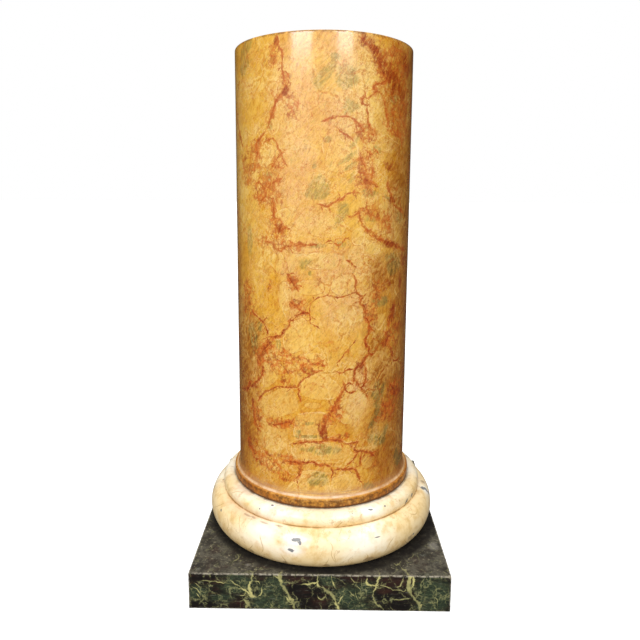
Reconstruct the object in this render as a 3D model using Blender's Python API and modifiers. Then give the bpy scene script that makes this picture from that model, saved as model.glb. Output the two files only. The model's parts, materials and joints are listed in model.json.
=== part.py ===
"""Round pedestal of painted sheet metal: a column shaft on a turned base moulding and a square plinth.

Metres, +Z up. The origin is the centre of the plinth's underside.
"""

import math

import bmesh
import bpy

# Whole pedestal and its shaft
OVERALL_HEIGHT = 0.925
SHAFT_DIAMETER = 0.315
TOP_EDGE_RADIUS = 0.0035

# Foot of the shaft: a concave flare that runs out onto a fillet
FILLET_PROJECTION = 0.0095
FILLET_HEIGHT = 0.015
FILLET_LIP_RADIUS = 0.003
FILLET_FOOT_RADIUS = 0.001
FLARE_HEIGHT = 0.018

# Base moulding: two rolls that meet in a groove
SEAT_MARGIN = 0.007
UPPER_ROLL_RADIUS = 0.015
GROOVE_DEPTH = 0.0023
LOWER_ROLL_PROJECTION = 0.024
LOWER_ROLL_HALF_WIDTH = 0.024
LOWER_ROLL_HEIGHT = 0.066

# Plinth
PLINTH_MARGIN = 0.002
PLINTH_HEIGHT = 0.063
PLINTH_EDGE = 0.0015

# Seats between the stacked pieces
SEAT_GAP = 0.0003

# Smoothness of the turned pieces
TURNED_SIDES = 80
ROLL_POINTS = 14
SMALL_ARC_POINTS = 5
FLARE_POINTS = 8

# Radii and heights that follow from the sizes above
shaft_radius = SHAFT_DIAMETER / 2
fillet_radius = shaft_radius + FILLET_PROJECTION
upper_roll_centre = fillet_radius + SEAT_MARGIN
upper_roll_outside = upper_roll_centre + UPPER_ROLL_RADIUS
groove_radius = upper_roll_outside - GROOVE_DEPTH
lower_roll_outside = upper_roll_outside + LOWER_ROLL_PROJECTION
lower_roll_centre = lower_roll_outside - LOWER_ROLL_HALF_WIDTH
plinth_width = 2 * (lower_roll_outside + PLINTH_MARGIN)
moulding_bottom = PLINTH_HEIGHT + SEAT_GAP


def arc(centre, radii, start, end, points):
    """Points of an elliptical arc in the profile plane, from one angle in degrees to another."""
    turned = []
    for index in range(points):
        angle = math.radians(start + (end - start) * index / (points - 1))
        turned.append((centre[0] + radii[0] * math.cos(angle), centre[1] + radii[1] * math.sin(angle)))
    return turned


def base_moulding_profile():
    """The two rolls from the axis at the top to the axis at the bottom, and the height of the seat on top."""
    lower_half_height = LOWER_ROLL_HEIGHT / 2
    lower_middle = moulding_bottom + lower_half_height
    lower_start = math.degrees(math.acos((groove_radius - lower_roll_centre) / LOWER_ROLL_HALF_WIDTH))
    groove_height = lower_middle + lower_half_height * math.sin(math.radians(lower_start))
    upper_end = -math.degrees(math.acos(1 - GROOVE_DEPTH / UPPER_ROLL_RADIUS))
    upper_middle = groove_height - UPPER_ROLL_RADIUS * math.sin(math.radians(upper_end))
    seat_height = upper_middle + UPPER_ROLL_RADIUS

    upper_roll = arc((upper_roll_centre, upper_middle), (UPPER_ROLL_RADIUS, UPPER_ROLL_RADIUS),
                     90, upper_end, ROLL_POINTS)
    lower_roll = arc((lower_roll_centre, lower_middle), (LOWER_ROLL_HALF_WIDTH, lower_half_height),
                     lower_start, -90, ROLL_POINTS)
    profile = [(0, seat_height)] + upper_roll + lower_roll[1:] + [(0, moulding_bottom)]
    return profile, seat_height


def shaft_profile(bottom):
    """The shaft from the middle of its flat top down its side, flare and fillet to its underside."""
    top = OVERALL_HEIGHT
    lip_height = bottom + FILLET_HEIGHT
    lip_radius = fillet_radius - FILLET_LIP_RADIUS
    flare_projection = lip_radius - shaft_radius

    top_edge = arc((shaft_radius - TOP_EDGE_RADIUS, top - TOP_EDGE_RADIUS), (TOP_EDGE_RADIUS, TOP_EDGE_RADIUS),
                   90, 0, SMALL_ARC_POINTS)
    flare = arc((lip_radius, lip_height + FLARE_HEIGHT), (flare_projection, FLARE_HEIGHT),
                180, 270, FLARE_POINTS)
    lip = arc((lip_radius, lip_height - FILLET_LIP_RADIUS), (FILLET_LIP_RADIUS, FILLET_LIP_RADIUS),
              90, 0, SMALL_ARC_POINTS)
    foot = arc((fillet_radius - FILLET_FOOT_RADIUS, bottom + FILLET_FOOT_RADIUS),
               (FILLET_FOOT_RADIUS, FILLET_FOOT_RADIUS), 0, -90, SMALL_ARC_POINTS)
    return [(0, top)] + top_edge + flare + lip[1:] + foot + [(0, bottom)]


def clear_scene():
    """Remove every object of the scene."""
    for scene_object in list(bpy.data.objects):
        bpy.data.objects.remove(scene_object, do_unlink=True)


def paint(name, colour, roughness):
    """Varnished paint on metal, in one colour."""
    material = bpy.data.materials.new(name)
    material.use_nodes = True
    shader = material.node_tree.nodes["Principled BSDF"]
    shader.inputs["Base Color"].default_value = (*colour, 1)
    shader.inputs["Roughness"].default_value = roughness
    shader.inputs["Metallic"].default_value = 0
    return material


def turned_piece(name, profile, material, collection):
    """A solid of revolution about Z, from a profile that runs top to bottom on the +X side."""
    mesh = bpy.data.meshes.new(name)
    points = [(radius, 0, height) for radius, height in profile]
    edges = [(index, index + 1) for index in range(len(points) - 1)]
    mesh.from_pydata(points, edges, [])
    piece = bpy.data.objects.new(name, mesh)
    collection.objects.link(piece)

    turn = piece.modifiers.new("turn", "SCREW")
    turn.axis = "Z"
    turn.angle = math.tau
    turn.steps = TURNED_SIDES
    turn.render_steps = TURNED_SIDES
    turn.use_merge_vertices = True
    turn.merge_threshold = 0.0001
    turn.use_smooth_shade = True
    mesh.materials.append(material)
    return piece


def square_slab(name, width, height, edge, material, collection):
    """A square slab that stands on the ground plane, with its edges slightly eased."""
    mesh = bpy.data.meshes.new(name)
    shape = bmesh.new()
    bmesh.ops.create_cube(shape, size=1)
    bmesh.ops.scale(shape, vec=(width, width, height), verts=shape.verts)
    bmesh.ops.translate(shape, vec=(0, 0, height / 2), verts=shape.verts)
    shape.to_mesh(mesh)
    shape.free()
    slab = bpy.data.objects.new(name, mesh)
    collection.objects.link(slab)

    ease = slab.modifiers.new("eased edges", "BEVEL")
    ease.width = edge
    ease.segments = 2
    mesh.materials.append(material)
    return slab


def build_pedestal():
    """Model the plinth, the base moulding and the shaft, one on another."""
    collection = bpy.data.collections.new("Marbled pedestal")
    bpy.context.scene.collection.children.link(collection)

    dark_green = paint("Dark green marbling", (0.030, 0.034, 0.024), 0.45)
    ivory = paint("Ivory paint", (0.80, 0.67, 0.43), 0.35)
    golden = paint("Golden marbling", (0.55, 0.26, 0.06), 0.25)

    square_slab("plinth", plinth_width, PLINTH_HEIGHT, PLINTH_EDGE, dark_green, collection)
    moulding, seat_height = base_moulding_profile()
    turned_piece("base_moulding", moulding, ivory, collection)
    turned_piece("shaft", shaft_profile(seat_height + SEAT_GAP), golden, collection)


clear_scene()
build_pedestal()
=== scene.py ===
"""Round pedestal of painted sheet metal: its three pieces with their marbled paint, and a plain studio."""

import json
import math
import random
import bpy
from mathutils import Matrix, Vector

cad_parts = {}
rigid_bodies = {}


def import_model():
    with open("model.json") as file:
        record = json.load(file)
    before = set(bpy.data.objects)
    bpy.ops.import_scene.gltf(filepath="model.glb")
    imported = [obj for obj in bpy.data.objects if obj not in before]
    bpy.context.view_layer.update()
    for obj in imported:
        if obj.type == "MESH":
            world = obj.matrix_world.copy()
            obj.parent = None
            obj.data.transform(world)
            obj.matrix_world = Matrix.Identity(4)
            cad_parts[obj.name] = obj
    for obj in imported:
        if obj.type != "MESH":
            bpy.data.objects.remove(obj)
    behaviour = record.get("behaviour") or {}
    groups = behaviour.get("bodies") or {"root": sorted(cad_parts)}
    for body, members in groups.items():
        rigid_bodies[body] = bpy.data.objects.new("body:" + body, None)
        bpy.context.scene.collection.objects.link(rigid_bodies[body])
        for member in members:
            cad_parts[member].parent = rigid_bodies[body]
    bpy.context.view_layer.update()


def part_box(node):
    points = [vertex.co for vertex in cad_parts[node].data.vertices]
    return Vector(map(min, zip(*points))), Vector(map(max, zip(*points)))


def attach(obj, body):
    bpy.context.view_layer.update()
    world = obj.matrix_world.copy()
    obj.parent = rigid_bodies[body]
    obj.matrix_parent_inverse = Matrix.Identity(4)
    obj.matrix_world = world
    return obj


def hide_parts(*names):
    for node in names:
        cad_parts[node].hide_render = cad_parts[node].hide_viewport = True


bl_info = {
    "name": "Marbled metal pedestal",
    "version": (1, 0, 0),
    "blender": (4, 5, 0),
    "location": "View3D > Sidebar > Pedestal",
    "description": "Models a painted metal pedestal around its fixed frame: shaft, base moulding and plinth",
    "category": "Add Mesh",
}

import bmesh
import bpy
import numpy as np
from mathutils import Matrix

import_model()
MM = 0.001

PLINTH_LOW, PLINTH_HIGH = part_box("plinth")
MOULDING_LOW, MOULDING_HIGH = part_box("base_moulding")
SHAFT_LOW, SHAFT_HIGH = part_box("shaft")
SHAFT_BOTTOM, SHAFT_TOP, SHAFT_OUTSIDE = float(SHAFT_LOW[2]), float(SHAFT_HIGH[2]), float(SHAFT_HIGH[0])
MOULDING_SEAT = float(MOULDING_HIGH[2])

# Limits of the brushwork's sums: a distance that nothing reaches, and the half widths at which a stroke ends
OUT_OF_REACH = 1e6
FAR_SIDE = 12.0


def paint_colour(red, green, blue):
    """A colour given in screen values from 0 to 255, as the linear values that materials use."""
    linear = []
    for value in (red, green, blue):
        share = value / 255
        linear.append(share / 12.92 if share <= 0.04045 else ((share + 0.055) / 1.055) ** 2.4)
    return tuple(linear)


def grey(level):
    """A grey as three equal linear values."""
    return (level, level, level)


# Lesser tones of the shaft's paint, which the panel leaves out
TERRACOTTA = paint_colour(200, 116, 54)
# Burnt amber lays the painted shade, and the shaded sage is the sage's copy under that painted shade
BURNT_AMBER = paint_colour(186, 98, 14)
SHADED_SAGE = paint_colour(92, 88, 56)
ORANGE_THREAD = paint_colour(212, 128, 62)
FADED_RUST = paint_colour(198, 106, 44)
FADED_OXBLOOD = paint_colour(178, 84, 34)
BRICK_RED = paint_colour(176, 86, 30)
BRISTLE_GLAZE = paint_colour(212, 186, 140)
# Cool tint that dims the front's middle: painted shade
COOL_DIMMING_TINT = paint_colour(243, 246, 252)
# Amber tint of the painted shade on the shaft's flanks
AMBER_SHADE_TINT = paint_colour(232, 206, 138)
DULL_FILM = paint_colour(164, 122, 90)
# Pale line on the fillet's lip, partly worn varnish and partly a painted highlight
PALE_LIP_AND_HIGHLIGHT = paint_colour(228, 202, 170)
FILLET_BROWN = paint_colour(174, 112, 40)

# Lesser tones of the base moulding's paint
TOFFEE = paint_colour(172, 128, 62)
PINK_BLUSH = paint_colour(236, 216, 194)
STALE_HONEY = paint_colour(206, 164, 92)
DUSKY_PINK = paint_colour(214, 176, 144)
PRIMER_WHITE = paint_colour(252, 250, 248)

# Lesser tones of the plinth's paint
DRY_BRUSH = paint_colour(134, 136, 122)
DUST_FLECK = paint_colour(146, 138, 112)
SMUDGE_GREY = paint_colour(150, 146, 134)
WORN_EDGE = paint_colour(160, 152, 134)


def length_property(name, description, default):
    """A length in metres that the panel shows in the scene's units."""
    return bpy.props.FloatProperty(name=name, description=description, default=default, min=0,
                                   unit="LENGTH", subtype="DISTANCE", precision=4)


def colour_property(name, description, red, green, blue):
    """A paint colour, given in screen values."""
    return bpy.props.FloatVectorProperty(name=name, description=description, size=3, min=0, max=1,
                                         subtype="COLOR", default=paint_colour(red, green, blue))


class PedestalSizes(bpy.types.PropertyGroup):
    """Sizes of the pedestal's pieces, which start from the frame's own boxes."""

    plinth_width: length_property("Plinth width", "Side of the square plinth", PLINTH_HIGH[0] - PLINTH_LOW[0])
    plinth_height: length_property("Plinth height", "Thickness of the plinth", PLINTH_HIGH[2])
    plinth_edge: length_property("Plinth edge", "Rounding of the plinth's worn edges", 0.0015)
    lower_roll_radius: length_property("Lower roll", "Outer radius of the lower roll", MOULDING_HIGH[0])
    lower_roll_half_width: length_property("Lower roll depth", "Half width of the lower roll", 0.024)
    lower_roll_height: length_property("Lower roll height", "Height of the lower roll", 0.066)
    upper_roll_radius: length_property("Upper roll", "Radius of the upper roll's round section", 0.015)
    lower_roll_projection: length_property("Step", "How far the lower roll stands out past the upper", 0.024)
    groove_depth: length_property("Groove", "Depth of the groove under the upper roll", 0.0023)
    fillet_projection: length_property("Fillet", "How far the fillet stands out from the shaft", 0.0095)
    fillet_height: length_property("Fillet height", "Height of the fillet at the shaft's foot", 0.015)
    fillet_lip: length_property("Fillet lip", "Rounding of the fillet's top edge", 0.003)
    flare_height: length_property("Flare height", "Height of the concave flare over the fillet", 0.018)
    top_edge: length_property("Top edge", "Rounding of the shaft's rim", 0.0035)
    sheet_waves: length_property("Sheet waves", "Depth of the waves in the beaten metal sheet", 0.0007)


class PedestalColours(bpy.types.PropertyGroup):
    """Colours of the painted marbling."""

    gold: colour_property("Gold", "Ground of the shaft", 222, 160, 40)
    # Amber also lays painted shade towards the shaft's foot
    amber: colour_property("Amber", "Deeper ground of the shaft", 192, 118, 12)
    straw: colour_property("Straw", "Pale ground of the shaft", 234, 188, 84)
    peach: colour_property("Peach", "Pink clouding of the shaft", 238, 178, 116)
    cream: colour_property("Cream", "Palest fragments and their outlines", 244, 210, 126)
    butter: colour_property("Butter", "Highlights along the edges of fragments", 246, 212, 140)
    olive: colour_property("Olive", "Greenish brown strokes of the shaft", 176, 128, 44)
    sage: colour_property("Sage", "Grey-green patches of the shaft", 150, 130, 62)
    rust: colour_property("Rust", "Orange-red clouds of the shaft", 200, 98, 30)
    oxblood: colour_property("Oxblood", "Dark red veins of the shaft", 144, 50, 14)
    # Umber also lays painted shade on the shaft's flanks
    umber: colour_property("Umber", "Dirt and aged varnish", 88, 50, 20)
    ivory: colour_property("Ivory", "Ground of the base moulding", 251, 242, 220)
    # Honey also lays painted shade on the moulding's underside and flanks
    honey: colour_property("Honey", "Yellowed paint of the base moulding", 236, 204, 140)
    bottle: colour_property("Bottle green", "Green clouds of the plinth", 46, 59, 42)
    moss: colour_property("Moss", "Green haze beside the plinth's veins", 94, 102, 74)
    plum: colour_property("Plum", "Brown-red streaks of the plinth", 54, 33, 26)
    # Soot also lays the painted shadow round the moulding on the plinth's top
    soot: colour_property("Soot", "Near-black ground of the plinth", 22, 19, 17)
    dust: colour_property("Dust", "Dusty film on top of the plinth", 84, 80, 68)
    lichen: colour_property("Lichen", "Yellow-green veins of the plinth", 192, 184, 118)
    bare_metal: colour_property("Bare metal", "Grey metal where paint has chipped", 104, 106, 108)


# Brushwork of the shaft's front, in millimetres: round the shaft from the middle of the front, and height
# above the floor. A vein is its full width and the points it runs through.
RUST_VEINS = (
    (3.6, (-74, 922), (-72, 905), (-66, 893), (-66, 870), (-64, 858), (-60, 845)),
    (6, (-55, 852), (-60, 838), (-68, 832), (-78, 822), (-84, 808), (-88, 795), (-96, 780)),
    (3.6, (-96, 780), (-106, 770), (-117, 762), (-121, 753), (-117, 744), (-127, 730)),
    (2.8, (-101, 760), (-88, 765), (-78, 761), (-74, 750), (-68, 742), (-78, 730), (-88, 717)),
    (6, (55, 918), (74, 905), (90, 897), (95, 884), (99, 870), (108, 861), (118, 856)),
    (4.4, (112, 858), (98, 851), (88, 849), (83, 843), (88, 838), (80, 832), (74, 825)),
    (3.6, (74, 826), (66, 828), (63, 820), (70, 815), (77, 819)),
    (2.8, (72, 815), (73, 800), (76, 788), (80, 778), (85, 768)),
    (2.8, (80, 836), (96, 838), (104, 830), (109, 812), (114, 796), (122, 780)),
    (2.8, (-4, 788), (12, 793), (25, 797), (40, 798), (52, 790)),
    (2.8, (20, 781), (30, 773), (41, 767), (52, 759)),
    (3.6, (44, 795), (58, 787), (66, 776), (56, 774)),
    (3.6, (126, 783), (136, 775), (147, 772), (158, 768)),
    (3.6, (-118, 696), (-106, 690), (-97, 684), (-88, 692), (-78, 698), (-66, 704)),
    (4.4, (-97, 684), (-101, 673), (-111, 668), (-121, 672)),
    (4.4, (-85, 672), (-82, 652), (-81, 636), (-77, 624), (-69, 619), (-58, 626)),
    (3.6, (-11, 662), (0, 660), (8, 658), (16, 664), (26, 668), (34, 673), (46, 680), (60, 680)),
    (2.8, (38, 646), (48, 642), (56, 648), (64, 655), (78, 658)),
    (5, (60, 655), (62, 640), (69, 626), (76, 619), (86, 616), (95, 606), (106, 604), (128, 596)),
    (8, (112, 601), (128, 595), (143, 591), (162, 588), (184, 580)),
    (6, (62, 703), (70, 701), (78, 697), (88, 694), (96, 690)),
    (3.6, (60, 742), (66, 728), (73, 716), (66, 705)),
    (3.6, (72, 746), (82, 741), (90, 748), (96, 742)),
    (6.8, (118, 701), (117, 690), (125, 681), (129, 671), (137, 664)),
    (5.2, (134, 662), (145, 656), (158, 653), (172, 647)),
    (2, (2, 598), (12, 605), (20, 601), (29, 598), (38, 607), (46, 604)),
    (2.8, (-102, 600), (-86, 598), (-79, 590), (-60, 592), (-40, 597), (-20, 596), (-6, 600)),
    (6, (-59, 549), (-52, 541), (-46, 533), (-39, 523)),
    (6, (-54, 503), (-42, 498), (-34, 491)),
    (2.8, (38, 573), (48, 567), (57, 559)),
    (4.4, (52, 549), (56, 538), (57, 526), (60, 518), (68, 512), (78, 517)),
    (4.4, (73, 513), (64, 500), (72, 497), (76, 488), (74, 480), (81, 471), (84, 464)),
    (4.4, (84, 465), (82, 450), (77, 441), (77, 430), (84, 424), (80, 415)),
    (2, (-16, 504), (-5, 512), (8, 515), (30, 512), (45, 517), (60, 518)),
    (5.2, (-18, 488), (-32, 485), (-45, 477), (-53, 469), (-56, 460), (-64, 454), (-68, 446)),
    (6, (-62, 452), (-70, 445), (-80, 442), (-91, 440), (-98, 436)),
    (3.6, (-142, 482), (-121, 470), (-105, 462), (-98, 449), (-97, 436)),
    (8.4, (-97, 438), (-98, 424), (-106, 416), (-112, 406), (-115, 396), (-110, 388)),
    (6, (-110, 390), (-109, 377), (-113, 366), (-121, 359), (-131, 350), (-139, 344)),
    (2, (-18, 500), (-19, 481), (-17, 469), (0, 460)),
    (4.4, (-12, 402), (-2, 401), (6, 398)),
    (10.8, (144, 497), (141, 485), (137, 474), (129, 464), (128, 455)),
    (5.2, (118, 446), (128, 439), (121, 428), (116, 420)),
    (3.6, (90, 440), (99, 438)),
    (6, (134, 418), (141, 406), (140, 394)),
    (3.6, (80, 415), (90, 411), (97, 414)),
    (8.4, (83, 413), (75, 405), (69, 397), (66, 389)),
    (2, (61, 441), (52, 432), (44, 424), (35, 412), (24, 401)),
    (5.2, (66, 398), (60, 391), (56, 384), (57, 372), (63, 365), (68, 358), (75, 350), (83, 338)),
    (4.4, (70, 400), (77, 390), (78, 375), (75, 361), (67, 357)),
    (2.8, (24, 389), (35, 385), (46, 391), (58, 389)),
    (2.8, (57, 362), (46, 367), (39, 362), (42, 355), (50, 350), (62, 353)),
    (6.8, (38, 370), (41, 359), (35, 350), (30, 342), (25, 334), (20, 325)),
    (10, (29, 338), (21, 325), (14, 314), (9, 300), (4, 288), (-2, 280)),
    (5.2, (26, 334), (33, 321)),
    (2.8, (2, 391), (-10, 385), (-20, 381), (-30, 373), (-37, 367), (-38, 355), (-38, 345), (-33, 334)),
    (3.6, (-37, 360), (-46, 360), (-60, 358), (-75, 357), (-85, 352), (-95, 347), (-108, 338), (-122, 321)),
    (2.8, (-30, 402), (-32, 392), (-25, 386), (-16, 383)),
    (6.8, (-118, 362), (-131, 350), (-139, 346), (-149, 349), (-152, 338), (-166, 332), (-184, 327)),
    (4.4, (-141, 326), (-138, 312), (-132, 299), (-130, 286), (-126, 276), (-119, 269)),
    (4.4, (-101, 291), (-90, 286), (-75, 290), (-60, 296), (-48, 297)),
    (3.6, (-55, 257), (-40, 262), (-20, 266), (0, 268), (15, 270), (30, 268), (42, 262), (55, 260),
     (68, 262)),
    (5.2, (66, 262), (60, 254), (61, 246), (72, 245), (82, 240), (91, 237), (101, 228)),
    (4.4, (-62, 226), (-45, 228), (-36, 226), (-25, 229), (-12, 230), (-2, 226), (10, 225), (19, 221)),
    (5.2, (18, 222), (21, 213), (18, 202)),
    (5.2, (20, 216), (34, 217), (45, 216), (56, 215), (63, 211), (66, 203), (69, 194), (75, 186)),
    (3.6, (44, 222), (55, 230), (62, 239), (71, 246)),
    (3.6, (73, 244), (70, 230), (68, 212)),
    (6.8, (-33, 227), (-35, 213), (-38, 203), (-46, 194)),
    (9.2, (136, 352), (146, 341), (158, 335), (176, 330)),
    (7.6, (116, 318), (132, 312), (146, 316)),
    (3.6, (142, 396), (151, 388), (168, 392)),
    (7.6, (-153, 233), (-142, 228), (-129, 221)),
    (4.4, (-142, 217), (-130, 211), (-121, 216)),
)

# Pale lines along the edges of fragments, written as the veins are
CREAM_LINES = (
    (5, (18, 775), (38, 768), (51, 759), (58, 744), (60, 727), (55, 712), (46, 703)),
    (5, (27, 453), (28, 467), (33, 476), (42, 478), (49, 470), (46, 452)),
    (4, (-45, 268), (-15, 272), (15, 275), (40, 266), (60, 252), (58, 240)),
    (4, (-52, 258), (-47, 240), (-30, 229), (0, 231)),
    (3, (84, 812), (80, 795), (84, 778), (90, 762)),
    (3, (112, 775), (128, 766), (148, 760)),
    (5, (136, 799), (152, 800), (172, 806)),
    (4, (-40, 312), (-20, 317), (2, 318), (10, 314)),
    (4, (-140, 388), (-131, 396), (-124, 404)),
    (4, (88, 470), (104, 452), (120, 470)),
    (4, (-60, 175), (-50, 188), (-38, 196), (-24, 208)),
    (3, (80, 398), (82, 380), (80, 362)),
    (3, (-64, 524), (-58, 508), (-66, 492), (-60, 476)),
    (4, (142, 520), (150, 508), (160, 500)),
    (3, (-46, 575), (-30, 582), (-16, 576)),
    (3, (30, 520), (38, 538), (33, 552)),
    (3, (-110, 730), (-112, 742), (-104, 752)),
    (4, (138, 396), (146, 380), (144, 362)),
    (3, (50, 500), (58, 480), (52, 462)),
    (3, (2, 740), (0, 758), (8, 768)),
)

# Fragments of the stone: the corners of their outlines
CREAM_FRAGMENTS = (
    ((72, 810), (80, 788), (88, 766), (108, 772), (124, 786), (104, 813), (96, 836), (74, 825)),
    ((56, 873), (69, 881), (86, 880), (90, 868), (105, 859), (94, 846), (72, 838), (56, 834), (48, 854)),
    ((-116, 748), (-96, 758), (-76, 748), (-84, 734), (-99, 720), (-118, 728)),
    ((-94, 794), (-74, 796), (-72, 780), (-84, 770), (-95, 780)),
    ((14, 765), (38, 769), (54, 756), (58, 740), (52, 722), (30, 712), (4, 722)),
    ((-81, 645), (-68, 654), (-46, 656), (-42, 646), (-58, 628), (-74, 627)),
    ((10, 602), (16, 606), (20, 601), (18, 594), (10, 594)),
    ((-58, 572), (-52, 583), (-42, 580), (-44, 558), (-54, 552)),
    ((16, 536), (30, 547), (48, 548), (57, 528), (42, 515), (18, 521)),
    ((-64, 459), (-46, 472), (-30, 477), (-18, 460), (-14, 432), (-36, 422), (-58, 417), (-66, 438)),
    ((-36, 368), (-26, 378), (4, 387), (18, 376), (34, 359), (20, 342), (-14, 342), (-32, 350)),
    ((-118, 324), (-76, 351), (-50, 356), (-42, 342), (-38, 328), (-42, 318), (-90, 298), (-112, 307)),
    ((60, 393), (74, 374), (65, 365), (60, 378)),
    ((42, 358), (56, 367), (60, 362), (46, 352)),
    ((83, 414), (108, 416), (132, 401), (140, 370), (121, 350), (84, 354), (76, 382)),
    ((62, 356), (82, 334), (65, 300), (36, 299), (24, 324), (44, 342)),
    ((-42, 310), (10, 318), (2, 280), (-42, 271), (-46, 291)),
    ((-114, 406), (-92, 402), (-76, 397), (-78, 368), (-106, 350), (-110, 375)),
    ((-48, 250), (-37, 262), (8, 266), (43, 255), (54, 243), (36, 236), (-7, 234), (-42, 236)),
    ((-64, 170), (-48, 196), (-27, 214), (8, 212), (16, 192), (16, 170), (-22, 168)),
    ((20, 202), (44, 208), (64, 202), (74, 176), (44, 170), (20, 170)),
    ((-20, 640), (10, 650), (34, 636), (36, 616), (2, 610), (-22, 618)),
    ((-140, 404), (-127, 408), (-124, 380), (-138, 352), (-146, 372)),
    ((92, 470), (112, 480), (122, 458), (108, 434), (92, 446)),
    ((-120, 300), (-96, 292), (-60, 284), (-62, 250), (-100, 240), (-122, 262)),
)
SAGE_FRAGMENTS = (
    ((34, 828), (46, 822), (61, 812), (48, 805), (35, 801)),
    ((-16, 848), (0, 866), (18, 878), (22, 870), (12, 856), (2, 846), (-8, 837)),
    ((22, 872), (36, 876), (52, 871), (56, 856), (48, 844), (30, 840), (19, 854)),
    ((-16, 700), (-2, 707), (12, 694), (10, 675), (-4, 668), (-26, 673), (-23, 686)),
    ((66, 682), (75, 686), (90, 684), (96, 679), (86, 674), (71, 674)),
    ((26, 659), (40, 666), (42, 646), (28, 628), (18, 623), (21, 639)),
    ((44, 708), (50, 713), (52, 702), (46, 695), (42, 697)),
    ((-36, 569), (-24, 576), (-15, 571), (-22, 560), (-34, 558)),
    ((116, 578), (146, 579), (160, 556), (136, 542), (120, 554)),
    ((-22, 257), (10, 261), (33, 254), (28, 245), (-7, 245)),
    ((-24, 206), (0, 214), (12, 202), (10, 190), (-16, 189)),
    ((74, 184), (90, 182), (103, 172), (84, 171)),
    ((98, 352), (112, 356), (118, 338), (106, 314), (96, 322)),
    ((88, 296), (106, 312), (116, 300), (96, 280), (84, 284)),
)
OXBLOOD_FRAGMENTS = (
    ((50, 922), (62, 908), (78, 896), (86, 880), (104, 864), (116, 850), (122, 836), (136, 846), (132, 864),
     (118, 880), (106, 892), (96, 906), (82, 912), (74, 922)),
    ((150, 904), (172, 902), (192, 884), (174, 872), (156, 884)),
    ((130, 860), (150, 858), (166, 842), (146, 832)),
    ((106, 731), (127, 732), (134, 720), (115, 714)),
    ((112, 529), (121, 533), (132, 527), (129, 521), (117, 522)),
)

# Patches: middle round the shaft and in height, half length, half width, and a tilt in degrees if any
CREAM_PATCHES = (
    (-36, 573, 14, 10), (0, 572, 28, 14), (-62, 512, 12, 24), (-110, 690, 14, 8), (116, 756, 18, 8, 20),
    (84, 222, 10, 12), (-86, 214, 14, 9), (118, 800, 10, 12), (-14, 412, 18, 8), (112, 650, 14, 16, 20),
    (-14, 330, 14, 5), (-70, 560, 10, 12), (90, 590, 14, 10), (-20, 528, 24, 12), (60, 610, 12, 14),
)
SAGE_PATCHES = (
    (20, 885, 8, 6), (-90, 786, 5, 8), (38, 732, 18, 4, 35), (46, 722, 12, 3, 35), (-6, 596, 13, 4),
    (31, 598, 8, 5), (-156, 885, 16, 13, 60), (108, 500, 18, 9), (-134, 434, 12, 24, 10), (-75, 430, 5, 10),
    (-19, 551, 3, 5), (98, 266, 13, 10), (112, 254, 15, 9), (-20, 298, 9, 3, 10), (-38, 282, 4, 4),
    (-22, 275, 24, 3, 4), (-2, 252, 30, 4), (166, 212, 9, 11), (182, 195, 18, 10), (-92, 705, 8, 7),
    (8, 762, 8, 5), (118, 672, 10, 3, -30), (-13, 721, 4, 4), (130, 830, 10, 8), (86, 640, 16, 6),
    (-116, 455, 6, 8), (156, 640, 12, 10), (-150, 910, 24, 10, 40), (100, 300, 24, 7, 60),
    (110, 338, 22, 6, 55), (120, 262, 20, 7, 60), (100, 352, 14, 5, 65), (62, 770, 26, 4, 50),
    (92, 748, 10, 6), (-140, 600, 8, 26),
)
RUST_CLOUDS = (
    (74, 716, 16, 34), (74, 772, 20, 16), (-100, 682, 34, 30), (-76, 622, 20, 18), (-46, 534, 13, 14),
    (-44, 500, 20, 9), (-78, 402, 48, 24, -15), (-60, 372, 13, 10), (-64, 229, 26, 12), (100, 520, 14, 20),
    (112, 632, 20, 20), (88, 480, 14, 26), (-76, 292, 32, 9), (30, 274, 20, 8), (86, 650, 18, 16),
    (-122, 742, 20, 26), (152, 336, 28, 24), (-70, 730, 14, 14), (-113, 400, 12, 18), (-60, 852, 8, 12),
    (-52, 818, 16, 22), (-84, 890, 10, 24), (-148, 720, 20, 34), (134, 316, 24, 14), (-30, 402, 40, 14),
    (-126, 290, 18, 32), (-96, 215, 34, 18), (70, 690, 20, 12), (136, 886, 50, 40), (150, 830, 34, 60),
    (-66, 596, 40, 10), (-60, 197, 14, 10), (150, 790, 44, 20), (-150, 500, 24, 34), (30, 322, 8, 14),
    (140, 440, 26, 24), (128, 296, 34, 12), (-140, 235, 26, 16),
)
OXBLOOD_PATCHES = (
    (-78, 913, 3, 6), (-60, 836, 7, 6, 30), (-72, 622, 6, 8), (66, 392, 8, 9, 30), (2, 284, 7, 14, 20),
    (165, 527, 5, 9), (176, 565, 12, 9), (138, 480, 8, 14, -20), (70, 699, 10, 5), (128, 595, 17, 6, -8),
    (130, 668, 8, 7), (-134, 348, 12, 6), (119, 426, 5, 7),
)
PEACH_CLOUDS = (
    (-52, 545, 18, 50), (-44, 500, 16, 30), (-30, 590, 40, 16), (-40, 880, 30, 50), (-45, 810, 36, 60),
    (-40, 735, 36, 60), (-46, 680, 34, 30), (-20, 640, 34, 30), (30, 900, 40, 40), (20, 800, 40, 40),
    (64, 350, 20, 44), (20, 560, 50, 34), (40, 500, 40, 40),
)
CRAZED_PATCHES = (
    (58, 806, 34, 84), (84, 724, 26, 56), (-104, 752, 24, 40), (-108, 690, 26, 40), (-66, 612, 30, 30),
    (-66, 838, 16, 40), (128, 650, 24, 40), (90, 560, 26, 40), (-84, 400, 40, 20),
)
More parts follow.
